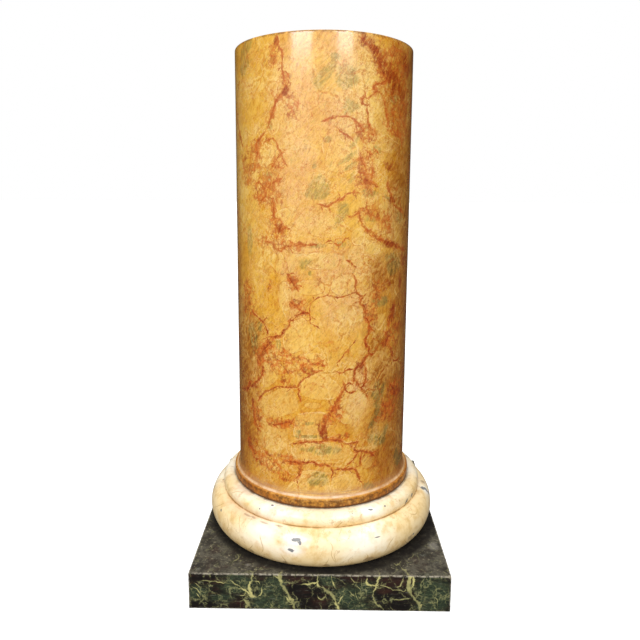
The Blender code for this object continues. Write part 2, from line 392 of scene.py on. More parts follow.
# Mostly painted shade: brown patches that darken the shaft's flanks and the sides of its foot, with a few
# real dark streaks and darker fragments among them
DARK_TONES_AND_PAINTED_SHADE = (
    (-140, 160, 56, 9), (146, 160, 56, 9), (186, 560, 32, 420), (178, 300, 46, 160), (-194, 350, 18, 200),
    (-180, 330, 34, 160), (150, 830, 40, 90), (160, 690, 34, 80), (160, 520, 40, 90), (160, 350, 40, 90),
    (150, 230, 50, 60), (224, 520, 22, 420), (-228, 300, 18, 170), (-165, 380, 26, 70), (-160, 260, 30, 60),
    (104, 430, 22, 34), (106, 545, 22, 30), (110, 378, 26, 38), (-140, 420, 26, 50), (100, 302, 26, 7, 60),
    (110, 340, 24, 7, 55), (120, 262, 22, 8, 60), (-156, 440, 7, 40), (-160, 380, 6, 50),
)

# Veins of the plinth's front, in millimetres: from the middle of the front, and height above the floor, which
# runs on over the plinth's top as the distance from its front edge
LICHEN_VEINS = (
    (6, (-110, 66), (-110, 55), (-112, 48), (-115, 39), (-113, 32), (-110, 24)),
    (8, (-116, 26), (-110, 23), (-103, 22)),
    (5, (-125, 18), (-118, 13), (-117, 7), (-121, 0)),
    (9, (-118, 8), (-121, 0)),
    (2, (-109, 51), (-103, 50), (-97, 46)),
    (3, (-94, 40), (-94, 32), (-100, 24)),
    (3, (-147, 52), (-138, 46), (-128, 39), (-116, 29), (-110, 25)),
    (2, (-136, 38), (-126, 36), (-117, 30)),
    (2, (-193, 50), (-174, 50), (-157, 47), (-146, 46)),
    (2, (-132, 24), (-122, 25)),
    (5, (-60, 80), (-64, 67), (-68, 58), (-60, 50)),
    (8, (-65, 64), (-63, 52), (-58, 38), (-52, 28)),
    (4, (-74, 60), (-66, 54)),
    (6, (-52, 29), (-46, 19), (-42, 10), (-41, 0)),
    (3, (-56, 24), (-48, 14), (-42, 8)),
    (4, (-50, 10), (-42, 11), (-34, 14)),
    (3, (-3, 70), (-2, 60), (-4, 52), (-16, 48), (-30, 46)),
    (4, (-2, 52), (-1, 42), (3, 42)),
    (4, (5, 43), (9, 40)),
    (6, (3, 42), (13, 35), (23, 26), (27, 17), (31, 6), (32, 0)),
    (8, (24, 14), (31, 8), (30, 2)),
    (5, (38, 26), (34, 18), (31, 10)),
    (2, (19, 63), (21, 50), (29, 38)),
    (3, (51, 58), (59, 51), (64, 51)),
    (2, (61, 47), (68, 37)),
    (2, (48, 35), (58, 24)),
    (2, (59, 33), (64, 19)),
    (4, (77, 60), (76, 49), (85, 46), (97, 47)),
    (4, (98, 72), (97, 63), (96, 48), (91, 44), (88, 33)),
    (7, (88, 33), (89, 22), (93, 14)),
    (10, (90, 16), (96, 11), (101, 7)),
    (2, (99, 46), (109, 44), (115, 40), (127, 38), (137, 36), (144, 37)),
    (3, (126, 44), (133, 47), (137, 60)),
    (6, (136, 86), (143, 74), (147, 62), (146, 48)),
    (7, (146, 60), (145, 46), (146, 38), (152, 28)),
    (4, (152, 64), (154, 50), (150, 42)),
    (6, (152, 28), (159, 19), (165, 10), (167, 0)),
    (8, (160, 16), (168, 12)),
    (2, (120, 21), (133, 20), (149, 24)),
    (2, (-3, 25), (4, 19), (8, 26), (13, 18)),
    (2, (186, 30), (192, 20), (194, 12)),
    (2, (-210, 40), (-200, 33), (-195, 26)),
    (2, (-205, 46), (-196, 40)),
    (2, (-203, 28), (-197, 20)),
    (3, (124, 98), (132, 92), (138, 104)),
    (2, (150, 110), (162, 122), (158, 136)),
    (3, (-150, 96), (-138, 104), (-142, 116)),
)
GREEN_PATCHES = (
    (-135, 46, 24, 16), (-88, 24, 24, 24), (-74, 46, 16, 14), (50, 24, 26, 20), (16, 52, 14, 10),
    (62, 8, 22, 8), (186, 30, 26, 34), (-200, 30, 16, 12), (76, 40, 12, 12), (-160, 18, 18, 8),
    (-60, 10, 12, 14),
)
BLACK_PATCHES = (
    (-196, 51, 13, 11), (-172, 8, 44, 9), (-32, 16, 22, 14), (-106, 34, 7, 8), (112, 10, 16, 9),
    (-6, 26, 10, 8), (8, 34, 8, 6), (-14, 46, 22, 8, 10), (36, 52, 12, 6), (128, 28, 20, 9),
    (134, 14, 20, 10), (-36, 40, 12, 10),
)
PLUM_PATCHES = (
    (-150, 50, 20, 8), (-30, 54, 22, 8), (62, 55, 22, 6), (116, 52, 24, 10), (-4, 14, 16, 10),
    (122, 34, 22, 6), (-140, 10, 22, 8),
)

# Marks on the base moulding, in millimetres: round the roll at its outside, and down the profile from
# the crest of the upper roll
MOULDING_RADIUS = 200
CHIPS = (
    (-38, 56, 8, 3, -10), (-31, 60, 2.5, 4), (-45, 73, 5.5, 2.2, 4), (-43, 77, 2.2, 1), (97, 9, 5, 1.6, 15),
    (272, 43, 6, 4, 30), (277, 51, 4, 6, 10), (281, 61, 4, 3), (190, 24, 6, 3, -35), (214, 22, 5, 3, -25),
    (-96, 2, 3, 2), (129, 11, 2.5, 1.5), (-118, 15, 2, 1.5), (96, 61, 8, 1, 8), (60, 9, 2, 1),
    (236, 100, 4, 2), (176, 86, 3, 2), (-205, 60, 3, 2), (-480, 50, 6, 2.5, 20), (-471, 54, 4, 1.5, -10),
    (520, 62, 5, 2), (-560, 18, 3, 1.5), (400, 64, 4, 1.5, 30),
)
PRIMER_SPOTS = (
    (-40, 57, 18, 10), (-44, 73, 16, 8), (97, 9, 6, 3, 15), (274, 50, 8, 9), (-94, 2, 5, 3),
    (-480, 50, 12, 6, 20), (520, 62, 10, 5), (400, 64, 8, 5, 30),
)
OCHRE_VEINS = (
    (2, (-154, 44), (-149, 54), (-144, 62), (-140, 74)),
    (2, (-56, 40), (-50, 46), (-46, 52)),
    (2, (16, 58), (20, 66), (18, 78), (24, 92)),
    (2, (22, 76), (25, 96)),
    (3, (28, 34), (34, 26), (40, 20)),
    (2, (-180, 60), (-172, 72), (-178, 84)),
    (3, (-60, 86), (-54, 98), (-56, 108)),
    (2, (4, 108), (10, 96), (14, 84)),
    (2, (70, 104), (78, 92), (74, 84)),
    (2, (150, 84), (160, 96), (172, 104)),
    (2, (205, 66), (212, 84), (228, 100)),
    (2, (176, 48), (190, 56), (204, 52)),
    (2, (-205, 18), (-190, 8), (-176, 4)),
    (2, (-100, 62), (-92, 80), (-96, 92)),
    (2, (-128, 100), (-118, 90), (-112, 82)),
    (2, (110, 92), (116, 78), (126, 70)),
    (2, (-230, 66), (-216, 56), (-206, 44)),
)
PINK_PATCHES = ((-150, 36, 60, 12), (-186, -4, 26, 14), (480, 30, 80, 12))
# Yellowed paint, partly painted shade on the moulding's flanks and under the lower roll
AGED_AND_SHADED_PAINT = (
    (-226, 60, 60, 60), (-120, 100, 60, 18), (216, 66, 66, 60), (150, 90, 40, 16), (-166, 50, 26, 20, 20),
    (120, 104, 60, 16), (0, 108, 80, 10), (-150, 20, 20, 10), (60, 26, 40, 8), (236, 16, 40, 26),
    (-236, 16, 30, 26), (-60, 60, 14, 12),
)
GRIME_SPOTS = (
    (-140, 39, 9, 2), (-126, 38, 6, 2), (-72, 38, 8, 2), (-100, 40, 10, 1.5), (-118, 98, 5, 4),
    (-56, 104, 4, 6), (12, 102, 5, 5, 30), (80, 98, 8, 5), (166, 88, 6, 4), (232, 92, 12, 3, -30),
)

# Smudges on the plinth's top, in millimetres from its middle to the right and to the back
SMUDGES = ((200, -130, 8, 11), (-120, -190, 5, 3), (90, 200, 9, 5))

# Soft lights of the studio: name, place in metres, width and height in metres, and power in watts
SOFT_LIGHTS = (
    ("key", (-1.35, -2.70, 2.25), (1.4, 1.4), 62),
    ("fill", (1.27, -2.72, 2.25), (1.1, 1.4), 41),
)
LIGHTS_AIM = (0, 0, 0.6)

# The camera: place in metres, lens in millimetres, shift, and its turns down, aside and about its axis
CAMERA_PLACE = (0.0084, -1.1027, 0.6754)
LENS_LENGTH, LENS_SHIFT = 33.39, -0.0585
CAMERA_DOWN, CAMERA_ASIDE, CAMERA_LEAN = math.radians(8.3655), math.radians(0.6748), math.radians(0.348)


def deselect_everything():
    """Leave nothing selected or active, because an operator works on all that is selected."""
    for scene_object in bpy.context.view_layer.objects:
        scene_object.select_set(False)
    bpy.context.view_layer.objects.active = None


def select_edges(piece, wanted):
    """In edit mode, select only the edges that pass a test."""
    shape = bmesh.from_edit_mesh(piece.data)
    bpy.context.tool_settings.mesh_select_mode = (False, True, False)
    for group in (shape.verts, shape.edges, shape.faces):
        for element in group:
            element.select = False
    for edge in shape.edges:
        if wanted(edge):
            edge.select_set(True)
    bmesh.update_edit_mesh(piece.data)


def runs_along(axis, length):
    """A test for edges that run along an axis for more than a length."""
    def passes(edge):
        step = edge.verts[1].co - edge.verts[0].co
        return abs(step[axis]) > length and step.length - abs(step[axis]) < 0.001

    return passes


def turn_profile(name, profile, sides):
    """A turned solid: a ring, extruded and sized from profile point to profile point, with closed ends."""
    deselect_everything()
    radius, height = profile[0]
    bpy.ops.mesh.primitive_circle_add(
        vertices=sides, radius=radius, fill_type="NOTHING", location=(0, 0, height))
    piece = bpy.context.active_object
    piece.name = piece.data.name = name
    bpy.ops.object.transform_apply(location=True, rotation=True, scale=True)
    bpy.ops.object.mode_set(mode="EDIT")
    bpy.ops.mesh.select_all(action="SELECT")
    for (last_radius, last_height), (next_radius, next_height) in zip(profile, profile[1:]):
        bpy.ops.mesh.extrude_region_move(TRANSFORM_OT_translate={"value": (0, 0, next_height - last_height)})
        growth = next_radius / last_radius
        bpy.ops.transform.resize(value=(growth, growth, 1), center_override=(0, 0, next_height))
    select_edges(piece, lambda edge: edge.is_boundary)
    bpy.ops.mesh.fill_holes(sides=0)
    bpy.ops.mesh.select_all(action="SELECT")
    bpy.ops.mesh.normals_make_consistent(inside=False)
    bpy.ops.object.mode_set(mode="OBJECT")
    return piece


def arc(centre, radii, start, end, points):
    """Points of an elliptical arc in the profile plane, from one angle in degrees to another."""
    turned = []
    for index in range(points):
        angle = math.radians(start + (end - start) * index / (points - 1))
        turned.append((centre[0] + radii[0] * math.cos(angle), centre[1] + radii[1] * math.sin(angle)))
    return turned


def straight(first, last, spacing):
    """Points along a straight stretch of profile, without its first one."""
    count = max(1, round(math.dist(first, last) / spacing))
    points = []
    for index in range(1, count + 1):
        share = index / count
        points.append(tuple(a + (b - a) * share for a, b in zip(first, last)))
    return points


def beat_sheet(piece, depth, size):
    """Give a turned surface the faint waves of beaten sheet metal, which only go inwards."""
    texture = bpy.data.textures.new(piece.name + " waves", "CLOUDS")
    texture.noise_scale = size
    texture.noise_depth = 1
    waves = piece.modifiers.new("waves", "DISPLACE")
    waves.texture = texture
    waves.texture_coords = "LOCAL"
    waves.strength = depth
    waves.mid_level = 1
    bpy.context.view_layer.objects.active = piece
    bpy.ops.object.modifier_apply(modifier="waves")
    bpy.data.textures.remove(texture)


def finish_piece(piece, node, material, sharp_angle=40):
    """Shade a piece, paint it and set it in the frame in place of its node."""
    deselect_everything()
    piece.select_set(True)
    bpy.context.view_layer.objects.active = piece
    bpy.ops.object.shade_smooth_by_angle(angle=math.radians(sharp_angle))
    piece.data.materials.clear()
    piece.data.materials.append(material)
    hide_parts(node)
    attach(piece, "root")


def vertex_places(piece):
    """The piece's vertices as rows of x, y and z in metres."""
    places = np.empty(len(piece.data.vertices) * 3, dtype=np.float32)
    piece.data.vertices.foreach_get("co", places)
    return places.reshape(-1, 3).astype(float)


def around(vertices, radius):
    """Unroll a round piece: millimetres round it at a radius from the middle of the front, and height."""
    angle = np.arctan2(vertices[:, 0], -vertices[:, 1])
    return np.stack([angle * radius, vertices[:, 2] / MM], axis=1)


def brush_path(points, unsteady, chance):
    """A curve through the given points as a hand would draw it, with a point about every 4 mm."""
    spacing = 4
    given = [points[0], *points, points[-1]]
    drawn = []
    for before, start, end, after in zip(given, given[1:], given[2:], given[3:]):
        steps = max(1, round(math.dist(start, end) / spacing))
        for index in range(steps):
            t = index / steps
            place = []
            for a, b, c, d in zip(before, start, end, after):
                place.append(0.5 * (2 * b + (c - a) * t + (2 * a - 5 * b + 4 * c - d) * t * t
                                    + (3 * b - a - 3 * c + d) * t ** 3))
            drawn.append(place)
    drawn.append(list(points[-1]))
    for place in drawn[1:-1]:
        place[0] += chance.uniform(-unsteady, unsteady)
        place[1] += chance.uniform(-unsteady, unsteady)
    return np.array(drawn)


def stroke_field(places, path, width):
    """How many half widths each place lies beside a path, and how far the paint reaches it, from 0 to 1."""
    reach_near, reach_far, taper, end_margin = 4.0, 8.0, 5.0, 2.0
    best = np.full(len(places), OUT_OF_REACH)
    side = np.zeros(len(places))
    along = np.zeros(len(places))
    lengths = np.hypot(*np.diff(path, axis=0).T)
    total = lengths.sum()
    done = 0.0
    for start, end, length in zip(path[:-1], path[1:], lengths):
        step = (end - start) / max(length, 1e-6)
        offset = places - start
        run = np.clip(offset @ step, 0, length)
        gap = offset - run[:, None] * step
        distance = np.hypot(gap[:, 0], gap[:, 1])
        nearer = distance < best
        cross = step[0] * offset[:, 1] - step[1] * offset[:, 0]
        best = np.where(nearer, distance, best)
        side = np.where(nearer, np.where(cross < 0, -1.0, 1.0), side)
        along = np.where(nearer, done + run, along)
        done += length
    to_end = np.minimum(along, total - along)
    half = width / 2 * (0.45 + 0.55 * np.clip(to_end / (taper + width), 0, 1))
    reach = np.clip((reach_far + width / 2 - best) / (reach_far - reach_near), 0, 1)
    reach *= np.clip((to_end + end_margin) / taper, 0, 1)
    return np.clip(side * best / half, -FAR_SIDE, FAR_SIDE), reach


def outline_field(places, outline):
    """How far each place lies inside a closed outline in millimetres, below zero outside it."""
    distance = np.full(len(places), OUT_OF_REACH)
    inside = np.zeros(len(places), dtype=bool)
    for start, end in zip(outline[:-1], outline[1:]):
        step = end - start
        share = np.clip((places - start) @ step / max(step @ step, 1e-9), 0, 1)
        distance = np.minimum(distance, np.hypot(*(places - start - share[:, None] * step).T))
        crosses = (start[1] > places[:, 1]) != (end[1] > places[:, 1])
        if start[1] != end[1]:
            meets = start[0] + (places[:, 1] - start[1]) * step[0] / step[1]
            inside ^= crosses & (places[:, 0] < meets)
    return np.where(inside, distance, -distance)


class FlatPiece:
    """A piece whose vertices are laid out flat in millimetres, so that brushwork can be stored on them."""

    def __init__(self, piece, places, girth):
        self.piece = piece
        self.places = places
        self.girth = girth

    def moved_to(self, origin):
        """The places, moved round the piece so that none is more than half a turn from an origin."""
        moved = self.places.copy()
        moved[:, 0] = (self.places[:, 0] - origin + self.girth / 2) % self.girth - self.girth / 2 + origin
        return moved

    def close_to(self, line, origin, margin):
        """The numbers of the vertices in a line's box with a margin, and their places from an origin."""
        moved = self.moved_to(origin)
        low, high = line.min(axis=0) - margin, line.max(axis=0) + margin
        near = np.nonzero(((moved > low) & (moved < high)).all(axis=1))[0]
        return near, moved[near]

    def store(self, label, values):
        """Keep one number for each vertex under a name that a material reads."""
        attribute = self.piece.data.attributes.new(label, "FLOAT", "POINT")
        attribute.data.foreach_set("value", np.ascontiguousarray(values, dtype=np.float32))

    def paint_veins(self, label, veins, unsteady, seed, sets=3):
        """Store veins in a few sets, so that veins that meet don't disturb each other."""
        chance = random.Random(seed)
        sides = np.full((sets, len(self.places)), FAR_SIDE)
        reaches = np.zeros((sets, len(self.places)))
        for width, *points in veins:
            path = brush_path(points, unsteady, chance)
            near, places = self.close_to(path, path[0][0], FAR_SIDE + width)
            if not len(near):
                continue
            side, reach = stroke_field(places, path, width)
            touched = near[reach > 0]
            costs = [float((reaches[index][touched] > 0).sum()) for index in range(sets)]
            chosen = costs.index(min(costs))
            stronger = reach > reaches[chosen][near]
            sides[chosen][near[stronger]] = side[stronger]
            reaches[chosen][near[stronger]] = reach[stronger]
        for index in range(sets):
            self.store(f"{label} side {index + 1}", sides[index])
            self.store(f"{label} reach {index + 1}", reaches[index])

    def patch_levels(self, patches):
        """Soft oval patches: 1 in the middle, 0.5 at the edge, 0 at twice the size."""
        strength = np.zeros(len(self.places))
        for middle, height, half_length, half_width, *tilt in patches:
            moved = self.moved_to(middle) - (middle, height)
            turn = math.radians(tilt[0]) if tilt else 0.0
            along = moved[:, 0] * math.cos(turn) + moved[:, 1] * math.sin(turn)
            across = moved[:, 1] * math.cos(turn) - moved[:, 0] * math.sin(turn)
            size = (np.abs(along / half_length) ** 2.5 + np.abs(across / half_width) ** 2.5) ** 0.4
            strength = np.maximum(strength, 1 - size / 2)
        return strength

    def paint_patches(self, label, patches):
        """Store soft oval patches."""
        self.store(label, self.patch_levels(patches))

    def paint_fragments(self, label, fragments, patches):
        """Store outlined fragments with uneven edges, and patches beside them, as levels."""
        fade_width, unsteady = 24.0, 0.7
        chance = random.Random(1)
        strength = self.patch_levels(patches)
        for corners in fragments:
            outline = brush_path([*corners, corners[0]], unsteady, chance)
            near, places = self.close_to(outline, outline[:, 0].mean(), fade_width / 2)
            level = 0.5 + outline_field(places, outline) / fade_width
            strength[near] = np.maximum(strength[near], np.clip(level, 0, 1))
        self.store(label, strength)


def scattered(seed, count, region, sizes):
    """Patches in random places of a region, for the sides that are painted more plainly."""
    chance = random.Random(seed)
    start, end, low, high = region
    patches = []
    for _ in range(count):
        half_length = chance.uniform(*sizes)
        patches.append((chance.uniform(start, end), chance.uniform(low, high), half_length,
                        half_length * chance.uniform(0.45, 0.9), chance.uniform(-60, 60)))
    return tuple(patches)


def rough_fragments(seed, count, region, sizes):
    """Outlines of five to eight corners in random places of a region."""
    chance = random.Random(seed)
    start, end, low, high = region
    fragments = []
    for _ in range(count):
        middle = chance.uniform(start, end), chance.uniform(low, high)
        size, flat, corners = chance.uniform(*sizes), chance.uniform(0.5, 1.1), chance.randint(5, 8)
        outline = []
        for corner in range(corners):
            angle = math.tau * (corner + chance.uniform(-0.3, 0.3)) / corners
            reach = size * chance.uniform(0.75, 1.15)
            outline.append((middle[0] + reach * math.cos(angle), middle[1] + reach * flat * math.sin(angle)))
        fragments.append(tuple(outline))
    return tuple(fragments)


def wandering_veins(seed, count, region, widths, steps, stride):
    """Veins that wander from random places of a region, for the sides that are painted more plainly."""
    chance = random.Random(seed)
    start, end, low, high = region
    veins = []
    for _ in range(count):
        place = [chance.uniform(start, end), chance.uniform(low, high)]
        heading = chance.uniform(0, math.tau)
        points = [tuple(place)]
        for _ in range(chance.randint(*steps)):
            heading += chance.uniform(-0.55, 0.55)
            place[0] += stride * math.cos(heading)
            place[1] += stride * math.sin(heading)
            points.append(tuple(place))
        veins.append((chance.uniform(*widths), *points))
    return tuple(veins)


def with_twigs(veins, seed):
    """Veins with short fine twigs that branch off them to either side every so often."""
    spacing, shortest, longest = 16, 5, 15
    chance = random.Random(seed)
    twigs = []
    for width, *points in veins:
        for start, end in zip(points, points[1:]):
            if chance.random() * spacing > math.dist(start, end):
                continue
            share, length = chance.random(), chance.uniform(shortest, longest)
            heading = math.atan2(end[1] - start[1], end[0] - start[0])
            heading += chance.choice((-1, 1)) * chance.uniform(0.5, 1.4)
            x, y = (a + (b - a) * share for a, b in zip(start, end))
            twig = [(x, y)]
            for _ in range(2):
                x += length / 2 * math.cos(heading)
                y += length / 2 * math.sin(heading)
                twig.append((x, y))
                heading += chance.uniform(-0.7, 0.7)
            twigs.append((chance.uniform(1.2, 2.2), *twig))
    return veins + tuple(twigs)


def set_socket(socket, value):
    """Link a socket to another one, or give it a plain value; a colour gets its fourth number."""
    if isinstance(value, bpy.types.NodeSocket):
        socket.id_data.links.new(value, socket)
    elif socket.type == "RGBA":
        socket.default_value = (*tuple(value)[:3], 1)
    else:
        socket.default_value = value


class NodeSteps:
    """A node tree and the place on the surface that it reads, with the steps that every look is made of."""

    def __init__(self, tree, place=None):
        self.tree = tree
        self.place = place

    def node(self, kind, inputs=None, **settings):
        """Add a shader node, set its settings, and link or set its inputs."""
        made = self.tree.nodes.new("ShaderNode" + kind)
        for setting, value in settings.items():
            setattr(made, setting, value)
        for name, value in (inputs or {}).items():
            set_socket(made.inputs[name], value)
        return made

    def calculate(self, operation, first, second=0.0, third=0.0, clamp=False):
        """One arithmetic step between values or sockets."""
        values = {0: first, 1: second, 2: third}
        return self.node("Math", values, operation=operation, use_clamp=clamp).outputs[0]

    def times(self, *factors):
        """The product of values or sockets."""
        product, *others = factors
        for factor in others:
            product = self.calculate("MULTIPLY", product, factor)
        return product

    def largest(self, *values):
        """The largest of some values or sockets."""
        largest, *others = values
        for value in others:
            largest = self.calculate("MAXIMUM", largest, value)
        return largest

    def scaled(self, value, factor, start):
        """A start, plus a value times a factor."""
        return self.calculate("MULTIPLY_ADD", value, factor, start)

    def centred(self, value):
        """A value from 0 to 1, moved to lie evenly about zero."""
        return self.calculate("SUBTRACT", value, 0.5)

    def fade(self, value, low, high, start=0.0, end=1.0):
        """A smooth step: start where the value is at or below low, end where it is at or above high."""
        return self.node("MapRange", {"Value": value, "From Min": low, "From Max": high, "To Min": start,
                                      "To Max": end}, interpolation_type="SMOOTHSTEP").outputs["Result"]

    def band(self, value, low, full, still_full, high):
        """A mask of the values between low and high, which fades in up to full and out from still full."""
        return self.times(self.fade(value, low, full), self.fade(value, still_full, high, 1.0, 0.0))

    def mix(self, share, under, over, way="MIX"):
        """One colour over another by a share, laid on or multiplied."""
        return self.node("Mix", {0: share, 6: under, 7: over}, data_type="RGBA", blend_type=way).outputs[2]

    def vector(self, operation, first, second):
        """One step between places or directions."""
        return self.node("VectorMath", {0: first, 1: second}, operation=operation).outputs[0]

    def noise(self, scale, detail=3.0, roughness=0.55, distortion=0.0, place=None):
        """Cloudy noise from 0 to 1 with about so many clouds a metre."""
        return self.node("TexNoise", {"Vector": self.place if place is None else place, "Scale": scale,
                                      "Detail": detail, "Roughness": roughness,
                                      "Distortion": distortion}).outputs["Fac"]

    def streaks(self, scale, detail, roughness, distortion=0.0, turn=(0, 0, 0)):
        """Noise with so many clouds a metre along each axis, after a turn."""
        stretched = self.node("Mapping", {"Vector": self.place, "Rotation": turn, "Scale": scale}).outputs[0]
        return self.noise(1.0, detail, roughness, distortion, stretched)

    def height_above_floor(self):
        """Height in metres."""
        return self.node("SeparateXYZ", {0: self.place}).outputs["Z"]

    def facing_up(self):
        """How far the surface faces up, from -1 to 1."""
        normal = self.node("NewGeometry").outputs["Normal"]
        return self.node("SeparateXYZ", {0: normal}).outputs["Z"]


def new_group(name, inputs, outputs):
    """An empty shader group that reads a place and numbers, and puts out numbers."""
    tree = bpy.data.node_groups.new(name, "ShaderNodeTree")
    tree.interface.new_socket("Place", in_out="INPUT", socket_type="NodeSocketVector")
    for label, default in inputs.items():
        socket = tree.interface.new_socket(label, in_out="INPUT", socket_type="NodeSocketFloat")
        socket.default_value = default
    for label in outputs:
        tree.interface.new_socket(label, in_out="OUTPUT", socket_type="NodeSocketFloat")
    given = tree.nodes.new("NodeGroupInput").outputs
    result = tree.nodes.new("NodeGroupOutput").inputs
    return NodeSteps(tree, given["Place"]), given, result


def vein_group(name):
    """Shader group that turns a stored stroke into a broken, ragged line of paint."""
    steps, given, result = new_group(
        name, {"Side": FAR_SIDE, "Reach": 0.0, "Ragged": 1.0, "Broken": 0.5, "Grain": 300.0},
        ("Line", "Glow", "Rim"))
    wiggle = steps.centred(steps.noise(given["Grain"], 3.0, 0.6))
    moved = steps.scaled(wiggle, given["Ragged"], given["Side"])
    away = steps.calculate("ABSOLUTE", moved)
    strength = steps.noise(steps.times(given["Grain"], 0.28), 2.0, 0.6)
    thin = steps.scaled(steps.centred(strength), 2.6, 1.0)
    worn = steps.times(steps.calculate("SUBTRACT", 1.0, thin), given["Broken"])
    limit = steps.calculate("SUBTRACT", 1.0, worn)
    core = steps.fade(away, steps.times(limit, 0.1), limit, 1.0, 0.0)
    halo = steps.fade(away, 0.6, 3.0, 1.0, 0.0)
    beside = steps.times(steps.band(moved, 0.8, 1.1, 1.5, 2.2), steps.fade(strength, 0.42, 0.6))
    for label, mask in (("Line", core), ("Glow", halo), ("Rim", beside)):
        set_socket(result[label], steps.calculate("MULTIPLY", mask, given["Reach"], clamp=True))
    return steps.tree


def patch_group(name):
    """Shader group that gives a stored patch a broken edge, which partly follows the stone's fragments."""
    steps, given, result = new_group(
        name, {"Patch": 0.0, "Size": 60.0, "Ragged": 0.5, "Soft": 0.1, "Tone": 0.5, "Angular": 0.0},
        ("Mask", "Level"))
    cloud = steps.centred(steps.noise(given["Size"], 5.0, 0.62))
    level = steps.scaled(cloud, given["Ragged"], given["Patch"])
    level = steps.scaled(steps.centred(given["Tone"]), given["Angular"], level)
    low = steps.calculate("SUBTRACT", 0.5, given["Soft"])
    high = steps.calculate("ADD", 0.5, given["Soft"])
    set_socket(result["Mask"], steps.fade(level, low, high))
    set_socket(result["Level"], level)
    return steps.tree


def rubble_group(name):
    """Shader group for broken stone: irregular fragments, with as much cement between them as is given."""
    steps, given, result = new_group(
        name, {"Fragments": 20.0, "Bend": 0.4, "Cement": 0.1}, ("Cement", "Rim", "Tone"))
    often = steps.times(given["Fragments"], 1.7)
    cloud = steps.node("TexNoise", {"Vector": steps.place, "Scale": often, "Detail": 4.0, "Roughness": 0.6})
    shift = steps.vector("SUBTRACT", cloud.outputs["Color"], (0.5, 0.5, 0.5))
    far = steps.calculate("DIVIDE", given["Bend"], given["Fragments"])
    bend = steps.node("VectorMath", {0: shift, "Scale": far}, operation="SCALE").outputs[0]
    bent = {"Vector": steps.vector("ADD", steps.place, bend), "Scale": given["Fragments"]}
    edges = steps.node("TexVoronoi", bent, feature="DISTANCE_TO_EDGE")
    cells = steps.node("TexVoronoi", bent, feature="F1")
    crumbs = steps.noise(steps.times(given["Fragments"], 8.0), 3.0, 0.65)
    distance = steps.scaled(steps.centred(crumbs), 0.22, edges.outputs["Distance"])
    width = steps.scaled(given["Cement"], 0.42, -0.07)
    outside = steps.calculate("SUBTRACT", distance, width)
    set_socket(result["Cement"], steps.fade(outside, -0.02, 0.04, 1.0, 0.0))
    set_socket(result["Rim"], steps.band(outside, 0.03, 0.06, 0.07, 0.14))
    set_socket(result["Tone"], steps.node("SeparateColor", {0: cells.outputs["Color"]}).outputs[0])
    return steps.tree


def brush_group(name):
    """Shader group for fine brush marks round a column, which lean more in some fragments than in others."""
    steps, given, result = new_group(
        name, {"Tone": 0.5, "Lean": 5.0, "Fine": 240.0, "Long": 50.0}, ("Marks",))
    steep = steps.times(steps.calculate("SUBTRACT", 0.15, given["Tone"]), given["Lean"])
    turn = steps.times(steps.height_above_floor(), steep)
    turned = steps.node(
        "VectorRotate", {"Vector": steps.place, "Angle": turn}, rotation_type="Z_AXIS").outputs[0]
    scale = steps.node("CombineXYZ", {"X": given["Fine"], "Y": given["Fine"], "Z": given["Long"]}).outputs[0]
    spread = steps.vector("MULTIPLY", turned, scale)
    set_socket(result["Marks"], steps.noise(1.0, 3.0, 0.65, 0.5, spread))
    return steps.tree


def filament_group(name):
    """Shader group for fine branching lines, which follow one level of a cloudy noise."""
    steps, given, result = new_group(name, {"Clouds": 60.0, "Width": 0.02, "Warp": 1.0}, ("Line",))
    level = steps.noise(given["Clouds"], 4.0, 0.55, given["Warp"])
    away = steps.calculate("ABSOLUTE", steps.centred(level))
    narrow = steps.times(given["Width"], 0.3)
    set_socket(result["Line"], steps.fade(away, narrow, given["Width"], 1.0, 0.0))
    return steps.tree


GROUPS = {"Painted vein": vein_group, "Painted patch": patch_group, "Broken stone": rubble_group,
          "Brush marks": brush_group, "Fine filaments": filament_group}


